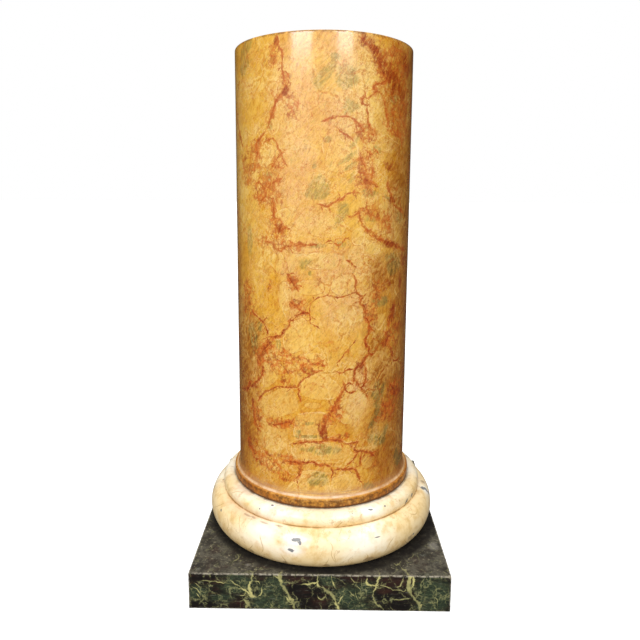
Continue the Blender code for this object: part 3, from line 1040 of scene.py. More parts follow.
class Paint(NodeSteps):
    """A material that is painted coat by coat, from strokes stored on the piece and from noise."""

    def __init__(self, name, colours=None):
        self.material = bpy.data.materials.new(name)
        self.material.use_nodes = True
        super().__init__(self.material.node_tree)
        self.tree.nodes.clear()
        self.shader = self.node("BsdfPrincipled")
        self.node("OutputMaterial", {"Surface": self.shader.outputs[0]})
        if colours is not None:
            self.place = self.node("TexCoord").outputs["Object"]
        self.colours = colours
        self.colour = None

    def coat(self, colour, *shares):
        """Lay a colour over what is there, by the product of the shares."""
        self.colour = self.mix(self.times(*shares), self.colour, colour)

    def glaze(self, tint, *amounts):
        """Tint what is there with a clear glaze, by the product of the amounts."""
        self.colour = self.mix(self.times(*amounts), self.colour, tint, "MULTIPLY")

    def stored(self, label):
        """A number that was stored on the vertices."""
        return self.node("Attribute", attribute_name=label, attribute_type="GEOMETRY").outputs["Fac"]

    def group(self, name, **inputs):
        """The outputs of a shared shader group, which is built when a paint first needs it."""
        shared = bpy.data.node_groups.get(name) or GROUPS[name](name)
        return self.node("Group", {"Place": self.place, **inputs}, node_tree=shared).outputs

    def veins(self, label, sets, ragged, broken, grain):
        """The strongest of a piece's sets of veins, as (line, glow, rim)."""
        line = glow = rim = 0.0
        for index in range(1, sets + 1):
            outputs = self.group("Painted vein", Side=self.stored(f"{label} side {index}"),
                                 Reach=self.stored(f"{label} reach {index}"), Ragged=ragged, Broken=broken,
                                 Grain=grain)
            line = self.largest(outputs["Line"], line)
            glow = self.largest(outputs["Glow"], glow)
            rim = self.largest(outputs["Rim"], rim)
        return line, glow, rim

    def patch(self, label, size, ragged, soft, tone=0.5, angular=0.0):
        """The mask of a stored patch with a brushed edge."""
        return self.group("Painted patch", Patch=self.stored(label), Size=size, Ragged=ragged, Soft=soft,
                          Tone=tone, Angular=angular)["Mask"]

    def rubble(self, fragments, bend, cement):
        """Broken stone with so many fragments a metre, as outputs Cement, Rim and Tone."""
        return self.group("Broken stone", Fragments=fragments, Bend=bend, Cement=cement)

    def brush_marks(self, tone, lean, fine, long):
        """Brush marks, so many to a metre across and along them."""
        return self.group("Brush marks", Tone=tone, Lean=lean, Fine=fine, Long=long)["Marks"]

    def filaments(self, clouds, width, warp):
        """A mask of fine branching lines."""
        return self.group("Fine filaments", Clouds=clouds, Width=width, Warp=warp)["Line"]

    def finished(self, relief, strength, depth, looks):
        """The material, with its colour, its relief as bump and its other looks on the shader."""
        bump = self.node("Bump", {"Height": relief, "Strength": strength, "Distance": depth}).outputs[0]
        for name, value in {"Base Color": self.colour, "Normal": bump, **looks}.items():
            set_socket(self.shader.inputs[name], value)
        return self.material


class GoldenMarbling(Paint):
    """Varnished breccia marbling of the shaft: fragments, clouds, patches and rust-red veins on gold."""

    def __init__(self, colours):
        super().__init__("Golden marbling", colours)
        self.height = self.height_above_floor()
        self.upper = self.fade(self.height, 0.48, 0.62)
        self.clouds = self.noise(9.0, 4.0, 0.55, 0.6)
        self.mottle = self.noise(42.0, 5.0, 0.65, 0.4)
        self.patchy = self.noise(95.0, 4.0, 0.6, 0.8)
        self.grain = self.noise(330.0, 4.0, 0.75)
        self.line, glow, self.beside = self.veins("rust line", 3, 2.4, 1.0, 300.0)

        red_clouds = self.scaled(self.patch("rust", 70.0, 0.7, 0.3), 0.46, self.times(glow, 0.42))
        red_clouds = self.calculate("ADD", red_clouds, self.fade(self.mottle, 0.48, 0.75, 0.0, 0.36))
        self.dense = self.times(red_clouds, self.fade(self.patchy, 0.2, 0.7, 0.5, 1.3))
        filled = self.calculate("MINIMUM", self.dense, self.scaled(self.upper, -0.35, 0.9))
        self.large = self.rubble(21.0, 0.8, 0.19)
        self.medium = self.rubble(52.0, 0.7, self.times(filled, 0.8))
        self.small = self.rubble(110.0, 0.8, self.scaled(filled, 0.9, -0.08))
        self.marks = self.brush_marks(self.large["Tone"], 9.0, 240.0, 45.0)
        self.wide_marks = self.brush_marks(self.medium["Tone"], 11.0, 150.0, 34.0)
        self.fragments = self.group(
            "Painted patch", Patch=self.stored("cream"), Size=180.0, Ragged=0.1, Soft=0.03)
        self.peach = self.times(self.patch("peach", 30.0, 0.6, 0.4),
                                self.fade(self.patchy, 0.3, 0.7, 0.4, 0.95))
        # Painted shade on the flanks and the foot's sides, with some real dark patches
        self.shade = self.times(self.patch("shade", 22.0, 1.0, 0.45),
                                self.fade(self.wide_marks, 0.36, 0.62, 0.55, 1.0))

    def build(self):
        """All the coats from the ground up, and the varnish."""
        self.lay_ground()
        self.lay_fragments()
        self.lay_crazed_stones()
        self.lay_painted_shade_and_sage()
        self.lay_pale_lines()
        self.lay_threads()
        self.lay_cracks()
        self.lay_veins()
        self.lay_brush_marks()
        self.age_foot()
        self.darken_ends()

        rough = self.fade(self.noise(30.0, 4.0), 0.3, 0.7, 0.24, 0.36)
        dull = self.fade(self.height, SHAFT_BOTTOM + 0.016, SHAFT_BOTTOM + 0.030, 1.0, 0.0)
        relief = self.scaled(self.marks, 0.6, self.times(self.grain, 0.4))
        relief = self.scaled(self.line, 0.35, relief)
        return self.finished(relief, 0.12, 0.0006, {
            "Roughness": self.scaled(dull, 0.25, rough), "Coat Weight": self.scaled(dull, -0.8, 1.0),
            "Specular IOR Level": 0.22, "Coat Roughness": 0.14})

    def lay_ground(self):
        """Gold with clouds of straw and amber, an amber painted shade that deepens towards the foot, and
        peach clouds over them.
        """
        colours = self.colours
        self.colour = self.mix(self.fade(self.clouds, 0.35, 0.68), colours.gold, colours.straw)
        self.coat(colours.amber, self.fade(self.mottle, 0.42, 0.72, 0.0, 0.5))
        # Painted shade: amber darkens the lower shaft, where less light falls from above
        lower = self.fade(self.height, 0.52, 0.28, 0.0, 0.6)
        self.coat(colours.amber, lower, self.fade(self.clouds, 0.3, 0.6, 0.5, 1.0))
        self.coat(colours.peach, self.peach)
        self.coat(colours.straw, self.fade(self.large["Tone"], 0.55, 0.95, 0.0, 0.24))
        self.coat(colours.amber, self.fade(self.medium["Tone"], 0.6, 1.0, 0.0, 0.18))
        swirls = self.noise(80.0, 4.0, 0.6, 2.5)
        self.coat(colours.olive, self.fade(swirls, 0.5, 0.68, 0.0, 0.34))
        self.coat(colours.straw, self.fade(swirls, 0.46, 0.3, 0.0, 0.38))

    def lay_fragments(self):
        """The pale bodies of the fragments, under wide brush marks that lean with the stones."""
        colours = self.colours
        self.coat(colours.cream, self.fragments["Mask"], self.fade(self.patchy, 0.3, 0.75, 0.4, 0.14))
        self.coat(colours.amber, self.fade(self.wide_marks, 0.5, 0.68, 0.0, 0.5))
        self.coat(colours.straw, self.fade(self.wide_marks, 0.48, 0.32, 0.0, 0.5))

    def lay_crazed_stones(self):
        """Small pale stones with brick-coloured cement, in the places that are crazed."""
        crazed = self.patch("crazed", 34.0, 0.7, 0.4)
        stones = self.rubble(46.0, 1.4, 0.24)
        self.coat(self.colours.cream, crazed, self.fade(stones["Tone"], 0.4, 0.9, 0.0, 0.45))
        self.coat(self.colours.butter, stones["Rim"], crazed, 0.75)
        self.coat(TERRACOTTA, stones["Cement"], self.fade(self.patchy, 0.36, 0.62, 0.05, 0.8), crazed)

    def lay_painted_shade_and_sage(self):
        """Painted shade in deep brown on the flanks and the foot's sides, with some real dark patches, and
        the grey-green patches, which are duller where the painted shade lies.
        """
        # Painted shade: burnt amber and umber darken the flanks, and the sage there is a shaded copy
        self.coat(BURNT_AMBER, self.shade, 0.75)
        self.coat(self.colours.umber, self.shade, 0.38)
        green = self.mix(self.times(self.shade, 0.8), self.colours.sage, SHADED_SAGE)
        sage = self.patch("sage", 70.0, 0.6, 0.14, self.wide_marks, 0.35)
        opaque = self.scaled(self.upper, -0.18, 0.9)
        self.coat(green, sage, self.fade(self.marks, 0.34, 0.58, 0.45, 1.0), opaque)

    def lay_pale_lines(self):
        """Butter-coloured lines: drawn ones, and those inside fragments, round stones and beside veins."""
        drawn = self.veins("cream line", 2, 2.8, 1.4, 260.0)[0]
        here = self.fade(self.noise(32.0, 2.0), 0.5, 0.64)
        inner = self.times(self.band(self.fragments["Level"], 0.50, 0.515, 0.535, 0.6), here)
        stone_rims = self.times(self.large["Rim"], self.fade(self.clouds, 0.46, 0.58), 0.6)
        rims = self.largest(stone_rims, inner, self.times(self.beside, 0.7))
        self.coat(self.colours.butter, self.largest(self.times(drawn, 0.65), self.times(rims, 0.68)))

    def lay_threads(self):
        """Fine orange threads with pale rims, most of them in the peach clouds, and a blush of rust."""
        crackle = self.rubble(78.0, 1.3, 0.2)
        where = self.fade(self.noise(16.0, 3.0, 0.6), 0.4, 0.62, 0.12, 0.8)
        where = self.largest(where, self.times(self.peach, 0.85))
        where = self.times(where, self.scaled(self.upper, 0.25, 0.75))
        self.coat(self.colours.butter, crackle["Rim"], where, 0.7)
        self.coat(ORANGE_THREAD, crackle["Cement"], where, 0.66)
        self.coat(self.colours.rust, self.fade(self.dense, 0.15, 0.9, 0.0, 0.4))

    def lay_cracks(self):
        """Red cracks round the fragments and between stones of three sizes, and fine red hairs."""
        colours = self.colours
        redness = self.mix(self.fade(self.noise(120.0, 3.0), 0.42, 0.62), colours.rust, colours.oxblood)
        redness = self.mix(self.times(self.upper, 0.45), redness, FADED_RUST)
        outer = self.band(self.fragments["Level"], 0.455, 0.48, 0.49, 0.508)
        self.coat(redness, outer, self.fade(self.noise(45.0, 3.0), 0.44, 0.56), 0.65)
        self.coat(redness, self.large["Cement"], self.fade(self.noise(22.0, 3.0), 0.45, 0.6), 0.5)
        self.coat(redness, self.filaments(34.0, 0.009, 1.2), self.fade(self.patchy, 0.4, 0.6), 0.6)
        self.coat(colours.straw, self.small["Rim"], self.dense, 0.75)
        self.coat(redness, self.small["Cement"], 0.6)
        self.coat(redness, self.medium["Cement"], 0.55)

    def lay_veins(self):
        """The drawn veins, with a dark core that is fainter towards the top, and the dark red patches."""
        colours = self.colours
        fainter = self.scaled(self.upper, -0.3, 1.0)
        self.coat(colours.rust, self.fade(self.line, 0.08, 0.5, 0.0, 0.7), fainter)
        core = self.mix(self.times(self.upper, 0.6), colours.oxblood, FADED_OXBLOOD)
        self.coat(core, self.fade(self.line, 0.42, 0.85), self.fade(self.patchy, 0.34, 0.6, 0.4, 0.9),
                  fainter)
        deep_red = self.mix(self.fade(self.wide_marks, 0.42, 0.62), colours.oxblood, BRICK_RED)
        patches = self.patch("oxblood", 90.0, 1.1, 0.2, self.small["Tone"], 0.35)
        self.coat(deep_red, patches, self.fade(self.marks, 0.36, 0.6, 0.3, 0.95))

    def lay_brush_marks(self):
        """Brush and bristle marks over everything, and a cool tint over the peach clouds, painted shade that
        dims the front's brightly lit middle.
        """
        colours = self.colours
        self.coat(colours.umber, self.fade(self.grain, 0.52, 0.74, 0.0, 0.28))
        self.coat(colours.umber, self.fade(self.marks, 0.54, 0.70, 0.0, 0.22))
        self.coat(colours.straw, self.fade(self.marks, 0.46, 0.30, 0.0, 0.42))
        bristles = self.brush_marks(self.small["Tone"], 10.0, 420.0, 110.0)
        self.glaze(BRISTLE_GLAZE, self.fade(bristles, 0.52, 0.68, 0.0, 0.55))
        self.coat(colours.straw, self.fade(bristles, 0.47, 0.32, 0.0, 0.3))
        # Painted shade: a cool tint dims the peach clouds in the front's lit middle
        self.glaze(COOL_DIMMING_TINT, self.stored("peach"))

    def age_foot(self):
        """The dull film over the flare, the pale line on the fillet's edge, partly worn varnish and partly a
        painted highlight, the browned fillet, and the amber tint of the painted shade.
        """
        height, seat = self.height, SHAFT_BOTTOM
        film = self.band(height, seat + 0.0145, seat + 0.016, seat + 0.019, seat + 0.034)
        smears = self.streaks((28, 28, 500), 3.0, 0.6)
        self.coat(DULL_FILM, film, self.fade(smears, 0.34, 0.66, 0.3, 0.8))
        # Pale line along the fillet's lip: partly worn varnish, partly a painted highlight
        edging = self.band(height, seat + 0.0145, seat + 0.0155, seat + 0.0165, seat + 0.0195)
        self.coat(PALE_LIP_AND_HIGHLIGHT, edging, self.fade(self.mottle, 0.35, 0.6, 0.2, 0.7))
        fillet = self.fade(height, seat + 0.013, seat + 0.0155, 1.0, 0.0)
        self.coat(FILLET_BROWN, fillet, 0.65)
        # Painted shade: an amber tint deepens the flanks where the painted shade lies
        self.glaze(AMBER_SHADE_TINT, self.shade, 0.9)
        self.coat(self.colours.umber, fillet, self.fade(self.noise(150.0, 5.0, 0.7), 0.40, 0.62, 0.0, 0.8))

    def darken_ends(self):
        """The crust of dirt along the seat, a darker band just above the seat, and the dirt along the top
        rim.
        """
        umber, height, seat = self.colours.umber, self.height, SHAFT_BOTTOM
        crust_top = self.scaled(self.noise(60.0, 4.0, 0.7), 0.010, seat - 0.0005)
        under = self.calculate("SUBTRACT", crust_top, height)
        self.coat(umber, self.fade(under, 0.0, 0.0015, 0.0, 0.75))
        # Darker band just above the seat, where the shaft meets the moulding
        self.coat(umber, self.fade(height, seat + 0.0005, seat + 0.0035, 0.9, 0.0))
        rim = self.fade(height, SHAFT_TOP - 0.006, SHAFT_TOP - 0.0015, 0.0, 0.75)
        self.coat(umber, rim, self.fade(self.facing_up(), 0.9, 0.5), self.fade(self.patchy, 0.35, 0.6))


class IvoryPaint(Paint):
    """Ivory paint of the base moulding, yellowed and with painted shade in honey, with thin ochre veins,
    chips and grime.
    """

    def __init__(self, colours):
        super().__init__("Ivory paint", colours)
        self.clouds = self.noise(11.0, 4.0, 0.6, 0.5)
        self.mottle = self.noise(60.0, 4.0, 0.6)

    def build(self):
        """The aged ground with its painted shade, the veins, the dirt and the chips, under a thin varnish."""
        self.lay_ground()
        self.lay_veins()
        self.lay_dirt()
        chip = self.lay_chips()
        rough = self.scaled(chip, 0.15, self.fade(self.clouds, 0.3, 0.7, 0.30, 0.42))
        grain = self.noise(380.0, 3.0, 0.7)
        relief = self.scaled(chip, -3.0, self.scaled(grain, 0.3, self.mottle))
        return self.finished(relief, 0.15, 0.0005, {
            "Roughness": rough, "Coat Weight": 0.15, "Coat Roughness": 0.2})

    def lay_ground(self):
        """Ivory yellowed in clouds, with a pink blush; painted shade in honey underneath, and aged paint
        mixed with painted shade at the flanks and low on the roll.
        """
        ivory, honey = self.colours.ivory, self.colours.honey
        self.colour = self.mix(self.fade(self.clouds, 0.42, 0.72, 0.0, 0.45), ivory, honey)
        # Painted shade: honey on the faces that turn down, away from the light above
        self.coat(honey, self.fade(self.facing_up(), 0.2, -0.75, 0.0, 0.7))
        self.coat(honey, self.fade(self.mottle, 0.5, 0.75, 0.0, 0.4))
        self.coat(PINK_BLUSH, self.fade(self.noise(30.0, 4.0, 0.6), 0.5, 0.68, 0.0, 0.45))
        # Honey and stale honey: aged paint, partly painted shade at the flanks and underneath
        aged = self.patch("aged", 30.0, 0.7, 0.45)
        self.coat(honey, aged, 0.8)
        self.coat(STALE_HONEY, aged, self.fade(self.mottle, 0.42, 0.68, 0.0, 0.5))
        self.coat(DUSKY_PINK, self.patch("pinkish", 60.0, 0.6, 0.4), 0.5)

    def lay_veins(self):
        """Thin toffee-coloured hairs, cracks and drawn veins."""
        self.coat(TOFFEE, self.filaments(17.0, 0.006, 1.6), self.fade(self.clouds, 0.45, 0.6), 0.4)
        cracks = self.rubble(16.0, 0.9, 0.17)["Cement"]
        self.coat(TOFFEE, cracks, self.fade(self.noise(26.0, 3.0), 0.5, 0.62), 0.4)
        line, glow, _ = self.veins("ochre line", 2, 1.5, 0.8, 300.0)
        self.coat(self.colours.honey, glow, 0.15)
        self.coat(TOFFEE, line, 0.6)

    def lay_dirt(self):
        """Darker toffee and umber along the groove, dirt in the grimy spots, and a darker ring round the
        shaft's seat.
        """
        umber, groove = self.colours.umber, self.stored("groove")
        # Darker toffee and umber along the groove
        self.coat(TOFFEE, self.fade(groove, 0.2, 0.9), self.fade(self.mottle, 0.3, 0.6, 0.25, 0.75))
        self.coat(umber, self.fade(groove, 0.8, 1.0, 0.0, 0.35), self.fade(self.mottle, 0.35, 0.65))
        # Darker ring on the moulding's top next to the shaft
        self.coat(umber, self.stored("seat"), self.fade(self.mottle, 0.3, 0.6, 0.3, 0.8))
        self.coat(umber, self.patch("grime", 200.0, 0.6, 0.2), 0.45)

    def lay_chips(self):
        """Chips down to grey metal with pale primer round them, and dark specks; returns the chips' mask."""
        self.coat(PRIMER_WHITE, self.patch("primer", 90.0, 0.8, 0.4), 0.7)
        chip = self.patch("chip", 380.0, 0.55, 0.08)
        self.coat(self.colours.bare_metal, chip, 0.9)
        self.coat(self.colours.umber, self.fade(self.noise(430.0, 1.0), 0.73, 0.77), 0.4)
        return chip


class DarkGreenMarbling(Paint):
    """Serpentine marbling of the plinth: dark clouds with yellow-green veins, dusty on top."""

    def __init__(self, colours):
        super().__init__("Dark green marbling", colours)
        self.upper = self.fade(self.facing_up(), 0.5, 0.95)
        self.fibres = self.streaks((90, 90, 300), 4.0, 0.7, 1.2, (0.0, 0.7, 0.0))
        self.mottle = self.noise(70.0, 5.0, 0.65, 0.5)
        self.grain = self.noise(300.0, 4.0, 0.75)

    def build(self):
        """The clouds, the veins, the dust on top and the worn edges."""
        self.lay_ground()
        self.lay_veins()
        self.lay_dust()
        rough = self.scaled(self.upper, 0.2, self.fade(self.mottle, 0.3, 0.7, 0.36, 0.5))
        relief = self.scaled(self.grain, 0.5, self.fibres)
        return self.finished(relief, 0.2, 0.0005, {"Roughness": rough, "Specular IOR Level": 0.3})

    def lay_ground(self):
        """Soot with streaks and patches of plum, green and black."""
        colours = self.colours
        streaks = self.streaks((24, 24, 210), 4.0, 0.7, 0.6)
        self.colour = self.mix(self.fade(streaks, 0.45, 0.72, 0.0, 0.9), colours.soot, colours.plum)
        self.coat(colours.plum, self.patch("plum", 60.0, 0.8, 0.25), self.fade(streaks, 0.3, 0.6, 0.2, 0.8))
        green = self.patch("green", 50.0, 0.7, 0.25)
        self.coat(colours.bottle, green, self.fade(self.fibres, 0.3, 0.62, 0.3, 1.0))
        self.coat(colours.soot, self.patch("black", 70.0, 0.7, 0.15), self.fade(streaks, 0.6, 0.4, 0.5, 0.9))

    def lay_veins(self):
        """Drawn veins in a mossy haze, with a fine web of cracks and dry brush strokes beside them."""
        colours = self.colours
        line, glow, _ = self.veins("lichen line", 3, 3.2, 1.2, 240.0)
        near = self.largest(self.times(glow, 0.7), self.fade(self.stored("green"), 0.1, 0.8))
        self.coat(colours.moss, self.fade(self.fibres, 0.45, 0.75), near, 0.6)
        pale = self.mix(0.36, colours.moss, colours.lichen)
        wide_web = self.rubble(40.0, 1.0, 0.21)["Cement"]
        fine_web = self.rubble(90.0, 1.0, 0.22)["Cement"]
        web = self.largest(wide_web, self.times(fine_web, near))
        self.coat(pale, web, self.fade(self.mottle, 0.42, 0.6, 0.02, 0.8))
        strokes = self.streaks((60, 60, 420), 3.0, 0.7, 0.0, (0.0, -0.9, 0.0))
        self.coat(DRY_BRUSH, self.fade(strokes, 0.6, 0.72), 0.5)
        self.coat(pale, self.fade(line, 0.03, 0.4, 0.0, 0.55))
        bright = self.fade(self.noise(34.0, 2.0), 0.42, 0.58, 0.3, 1.0)
        self.coat(colours.lichen, self.fade(line, 0.35, 0.75), self.fade(self.grain, 0.3, 0.55, 0.6, 1.0),
                  bright)
        self.coat(colours.dust, self.fade(self.grain, 0.58, 0.75, 0.0, 0.3))

    def lay_dust(self):
        """The dusty film with flecks and pits, grime and painted shadow round the moulding, smudges and worn
        pale edges.
        """
        colours = self.colours
        blotches = self.noise(34.0, 6.0, 0.7)
        self.coat(colours.dust, self.upper, self.fade(blotches, 0.4, 0.6, 0.25, 0.95))
        speckle = self.noise(210.0, 4.0, 0.7)
        self.coat(DUST_FLECK, self.fade(speckle, 0.58, 0.68), self.upper, 0.7)
        self.coat(colours.soot, self.fade(speckle, 0.46, 0.38), self.upper, 0.55)
        # Grime and painted shadow round the moulding, in soot
        self.coat(colours.soot, self.stored("soil"), self.fade(self.mottle, 0.25, 0.6, 0.6, 1.0))
        self.coat(SMUDGE_GREY, self.patch("smudge", 120.0, 0.3, 0.25), 0.4)
        edge = self.fade(self.stored("edge"), 0.7, 1.0)
        self.coat(WORN_EDGE, edge, self.fade(self.noise(160.0, 4.0, 0.7), 0.4, 0.6), 0.75)


class PEDESTAL_OT_shaft(bpy.types.Operator):
    """Model the round shaft with its flared foot, and paint it as golden breccia marble"""

    bl_idname = "pedestal.shaft"
    bl_label = "Shaft"

    def execute(self, context):
        sizes = context.scene.pedestal_sizes
        radius = SHAFT_OUTSIDE - sizes.fillet_projection
        piece = turn_profile("marbled_shaft", self.profile(sizes, radius), sides=336)
        beat_sheet(piece, sizes.sheet_waves, size=0.16)
        self.paint(piece, radius)
        material = GoldenMarbling(context.scene.pedestal_colours).build()
        finish_piece(piece, "shaft", material)
        return {"FINISHED"}

    @staticmethod
    def profile(sizes, radius):
        """The shaft's outline from the middle of its top down to the middle of its underside."""
        lip_height = SHAFT_BOTTOM + sizes.fillet_height
        lip_radius = SHAFT_OUTSIDE - sizes.fillet_lip
        flare_top = lip_height + sizes.flare_height
        foot_edge, pole = 0.001, 0.004
        side_spacing, top_spacing, bottom_spacing = 0.003, 0.012, 0.04

        outline = [(pole, SHAFT_TOP)]
        rim = sizes.top_edge
        outline += straight(outline[-1], (radius - rim, SHAFT_TOP), top_spacing)
        outline += arc((radius - rim, SHAFT_TOP - rim), (rim, rim), 75, 0, 6)
        outline += straight(outline[-1], (radius, flare_top), side_spacing)
        outline += arc((lip_radius, flare_top), (lip_radius - radius, sizes.flare_height), 187, 270, 12)
        lip = sizes.fillet_lip
        outline += arc((lip_radius, lip_height - lip), (lip, lip), 75, 0, 6)
        outline += straight(outline[-1], (SHAFT_OUTSIDE, SHAFT_BOTTOM + foot_edge), side_spacing)
        foot_centre = (SHAFT_OUTSIDE - foot_edge, SHAFT_BOTTOM + foot_edge)
        outline += arc(foot_centre, (foot_edge, foot_edge), -20, -90, 4)
        outline += straight(outline[-1], (pole, SHAFT_BOTTOM), bottom_spacing)
        return outline

    @staticmethod
    def paint(piece, radius):
        """Lay out the brushwork: the front as drawn above, and the back and sides from random draws."""
        vertices = vertex_places(piece)
        places = around(vertices, radius / MM)
        inward = np.maximum(radius - np.hypot(vertices[:, 0], vertices[:, 1]), 0)
        places[:, 1] += np.where(vertices[:, 2] > radius, inward, 0) / MM
        girth = math.tau * radius / MM
        flat = FlatPiece(piece, places, girth)

        back = (200, girth - 200, 170, 920)
        back_fragments = rough_fragments(19, 52, back, (12, 40))
        joints = tuple((2.5 + 0.6 * (number % 6), *outline[:4])
                       for number, outline in enumerate(back_fragments))
        back_veins = joints + wandering_veins(11, 50, back, (2, 6.5), (3, 7), 14)
        flat.paint_veins("rust line", with_twigs(RUST_VEINS + back_veins, 27), 1.2, 3)
        back_lines = wandering_veins(12, 16, back, (3, 5), (4, 8), 14)
        flat.paint_veins("cream line", CREAM_LINES + back_lines, 0.6, 4, 2)
        flat.paint_fragments("cream", CREAM_FRAGMENTS + back_fragments,
                             CREAM_PATCHES + scattered(13, 16, back, (8, 24)))
        flat.paint_fragments("sage", SAGE_FRAGMENTS + rough_fragments(20, 22, back, (6, 18)),
                             SAGE_PATCHES + scattered(14, 22, back, (5, 18)))
        flat.paint_patches("rust", RUST_CLOUDS + scattered(15, 40, back, (12, 36)))
        flat.paint_fragments("oxblood", OXBLOOD_FRAGMENTS, OXBLOOD_PATCHES + scattered(16, 12, back, (5, 16)))
        flat.paint_patches("peach", PEACH_CLOUDS + scattered(17, 10, back, (24, 46)))
        flat.paint_patches("crazed", CRAZED_PATCHES + scattered(23, 16, back, (16, 44)))
        # Painted shade on the front's flanks and foot, and plain darker patches round the back
        flat.paint_patches("shade", DARK_TONES_AND_PAINTED_SHADE + scattered(18, 18, back, (24, 80)))


class PEDESTAL_OT_base_moulding(bpy.types.Operator):
    """Model the turned base moulding of two rolls and a groove, and paint it ivory"""

    bl_idname = "pedestal.base_moulding"
    bl_label = "Base moulding"

    def execute(self, context):
        sizes = context.scene.pedestal_sizes
        outline, groove = self.profile(sizes)
        piece = turn_profile("ivory_base_moulding", outline, sides=480)
        beat_sheet(piece, sizes.sheet_waves, size=0.09)
        self.paint(piece, outline, groove)
        material = IvoryPaint(context.scene.pedestal_colours).build()
        finish_piece(piece, "base_moulding", material)
        return {"FINISHED"}

    @staticmethod
    def profile(sizes):
        """The outline, from the middle of the top to that of the underside, and the groove's bottom."""
        bottom, roll = float(MOULDING_LOW[2]), sizes.upper_roll_radius
        half_width, half_height = sizes.lower_roll_half_width, sizes.lower_roll_height / 2
        lower_centre = sizes.lower_roll_radius - half_width
        upper_outside = sizes.lower_roll_radius - sizes.lower_roll_projection
        upper_centre = upper_outside - roll
        groove_radius = upper_outside - sizes.groove_depth
        upper_end = -math.degrees(math.acos(1 - sizes.groove_depth / roll))
        lower_start = math.degrees(math.acos((groove_radius - lower_centre) / half_width))
        pole, covered, crest_gap = 0.01, 0.006, 0.001
        hidden_spacing, seat_spacing, bottom_spacing = 0.04, 0.0025, 0.06

        outline = [(pole, MOULDING_SEAT)]
        outline += straight(outline[-1], (SHAFT_OUTSIDE - covered, MOULDING_SEAT), hidden_spacing)
        outline += straight(outline[-1], (upper_centre - crest_gap, MOULDING_SEAT), seat_spacing)
        upper = arc((upper_centre, MOULDING_SEAT - roll), (roll, roll), 86, upper_end, 20)
        lower = arc((lower_centre, bottom + half_height), (half_width, half_height), lower_start, -84, 40)
        outline += upper + lower[1:]
        outline += straight(outline[-1], (pole, bottom), bottom_spacing)
        return outline, (groove_radius, upper[-1][1])

    def paint(self, piece, outline, groove):
        """Lay out the chips, the aged places that are partly painted shade, veins and dirt, the darker band
        along the groove and the darker ring at the seat.
        """
        vertices = vertex_places(piece)
        run = np.hypot(vertices[:, 0], vertices[:, 1])
        down = self.distance_down(outline, run, vertices[:, 2])
        places = around(vertices, MOULDING_RADIUS)
        places[:, 1] = down
        girth = math.tau * MOULDING_RADIUS
        flat = FlatPiece(piece, places, girth)

        back = (260, girth - 260, 4, 100)
        back_veins = wandering_veins(21, 26, back, (2, 3), (2, 4), 8)
        flat.paint_veins("ochre line", OCHRE_VEINS + back_veins, 0.5, 5, 2)
        flat.paint_patches("chip", CHIPS)
        flat.paint_patches("primer", PRIMER_SPOTS)
        # Yellowed paint all round low on the lower roll and at the flanks, partly painted shade
        all_round = tuple((middle, 70, 46, 60) for middle in range(-560, 640, 180))
        flat.paint_patches("aged", all_round + AGED_AND_SHADED_PAINT)
        flat.paint_patches("pinkish", PINK_PATCHES)
        flat.paint_patches("grime", GRIME_SPOTS + scattered(22, 18, back, (2, 7)))

        # Width of the darker band along the groove
        below_groove, groove_band_width, fullness = 0.4, 3.0, 1.1
        groove_down = self.distance_down(outline, *(np.array([number]) for number in groove))[0]
        from_groove = np.abs(down - groove_down - below_groove)
        flat.store("groove", np.clip(fullness - from_groove / groove_band_width, 0, 1))
        # Width of the darker ring on the moulding's top next to the shaft
        seat_band_width, top_skin = 0.0035, MOULDING_SEAT - 0.01
        beside_shaft = np.clip(1 - (run - SHAFT_OUTSIDE) / seat_band_width, 0, 1)
        flat.store("seat", beside_shaft * (vertices[:, 2] > top_skin))

    @staticmethod
    def distance_down(outline, radii, heights):
        """Millimetres along the outline from the upper roll's crest to the nearest point of the outline."""
        points = np.array(outline)
        lengths = np.concatenate([[0], np.cumsum(np.hypot(*np.diff(points, axis=0).T))])
        crest = points[:, 0].searchsorted(SHAFT_OUTSIDE + 0.007)
        best = np.full(len(radii), OUT_OF_REACH)
        down = np.zeros(len(radii))
        for index, (radius, height) in enumerate(points):
            distance = np.hypot(radii - radius, heights - height)
            nearer = distance < best
            best = np.where(nearer, distance, best)
            down = np.where(nearer, lengths[index] - lengths[crest], down)
        return down / MM


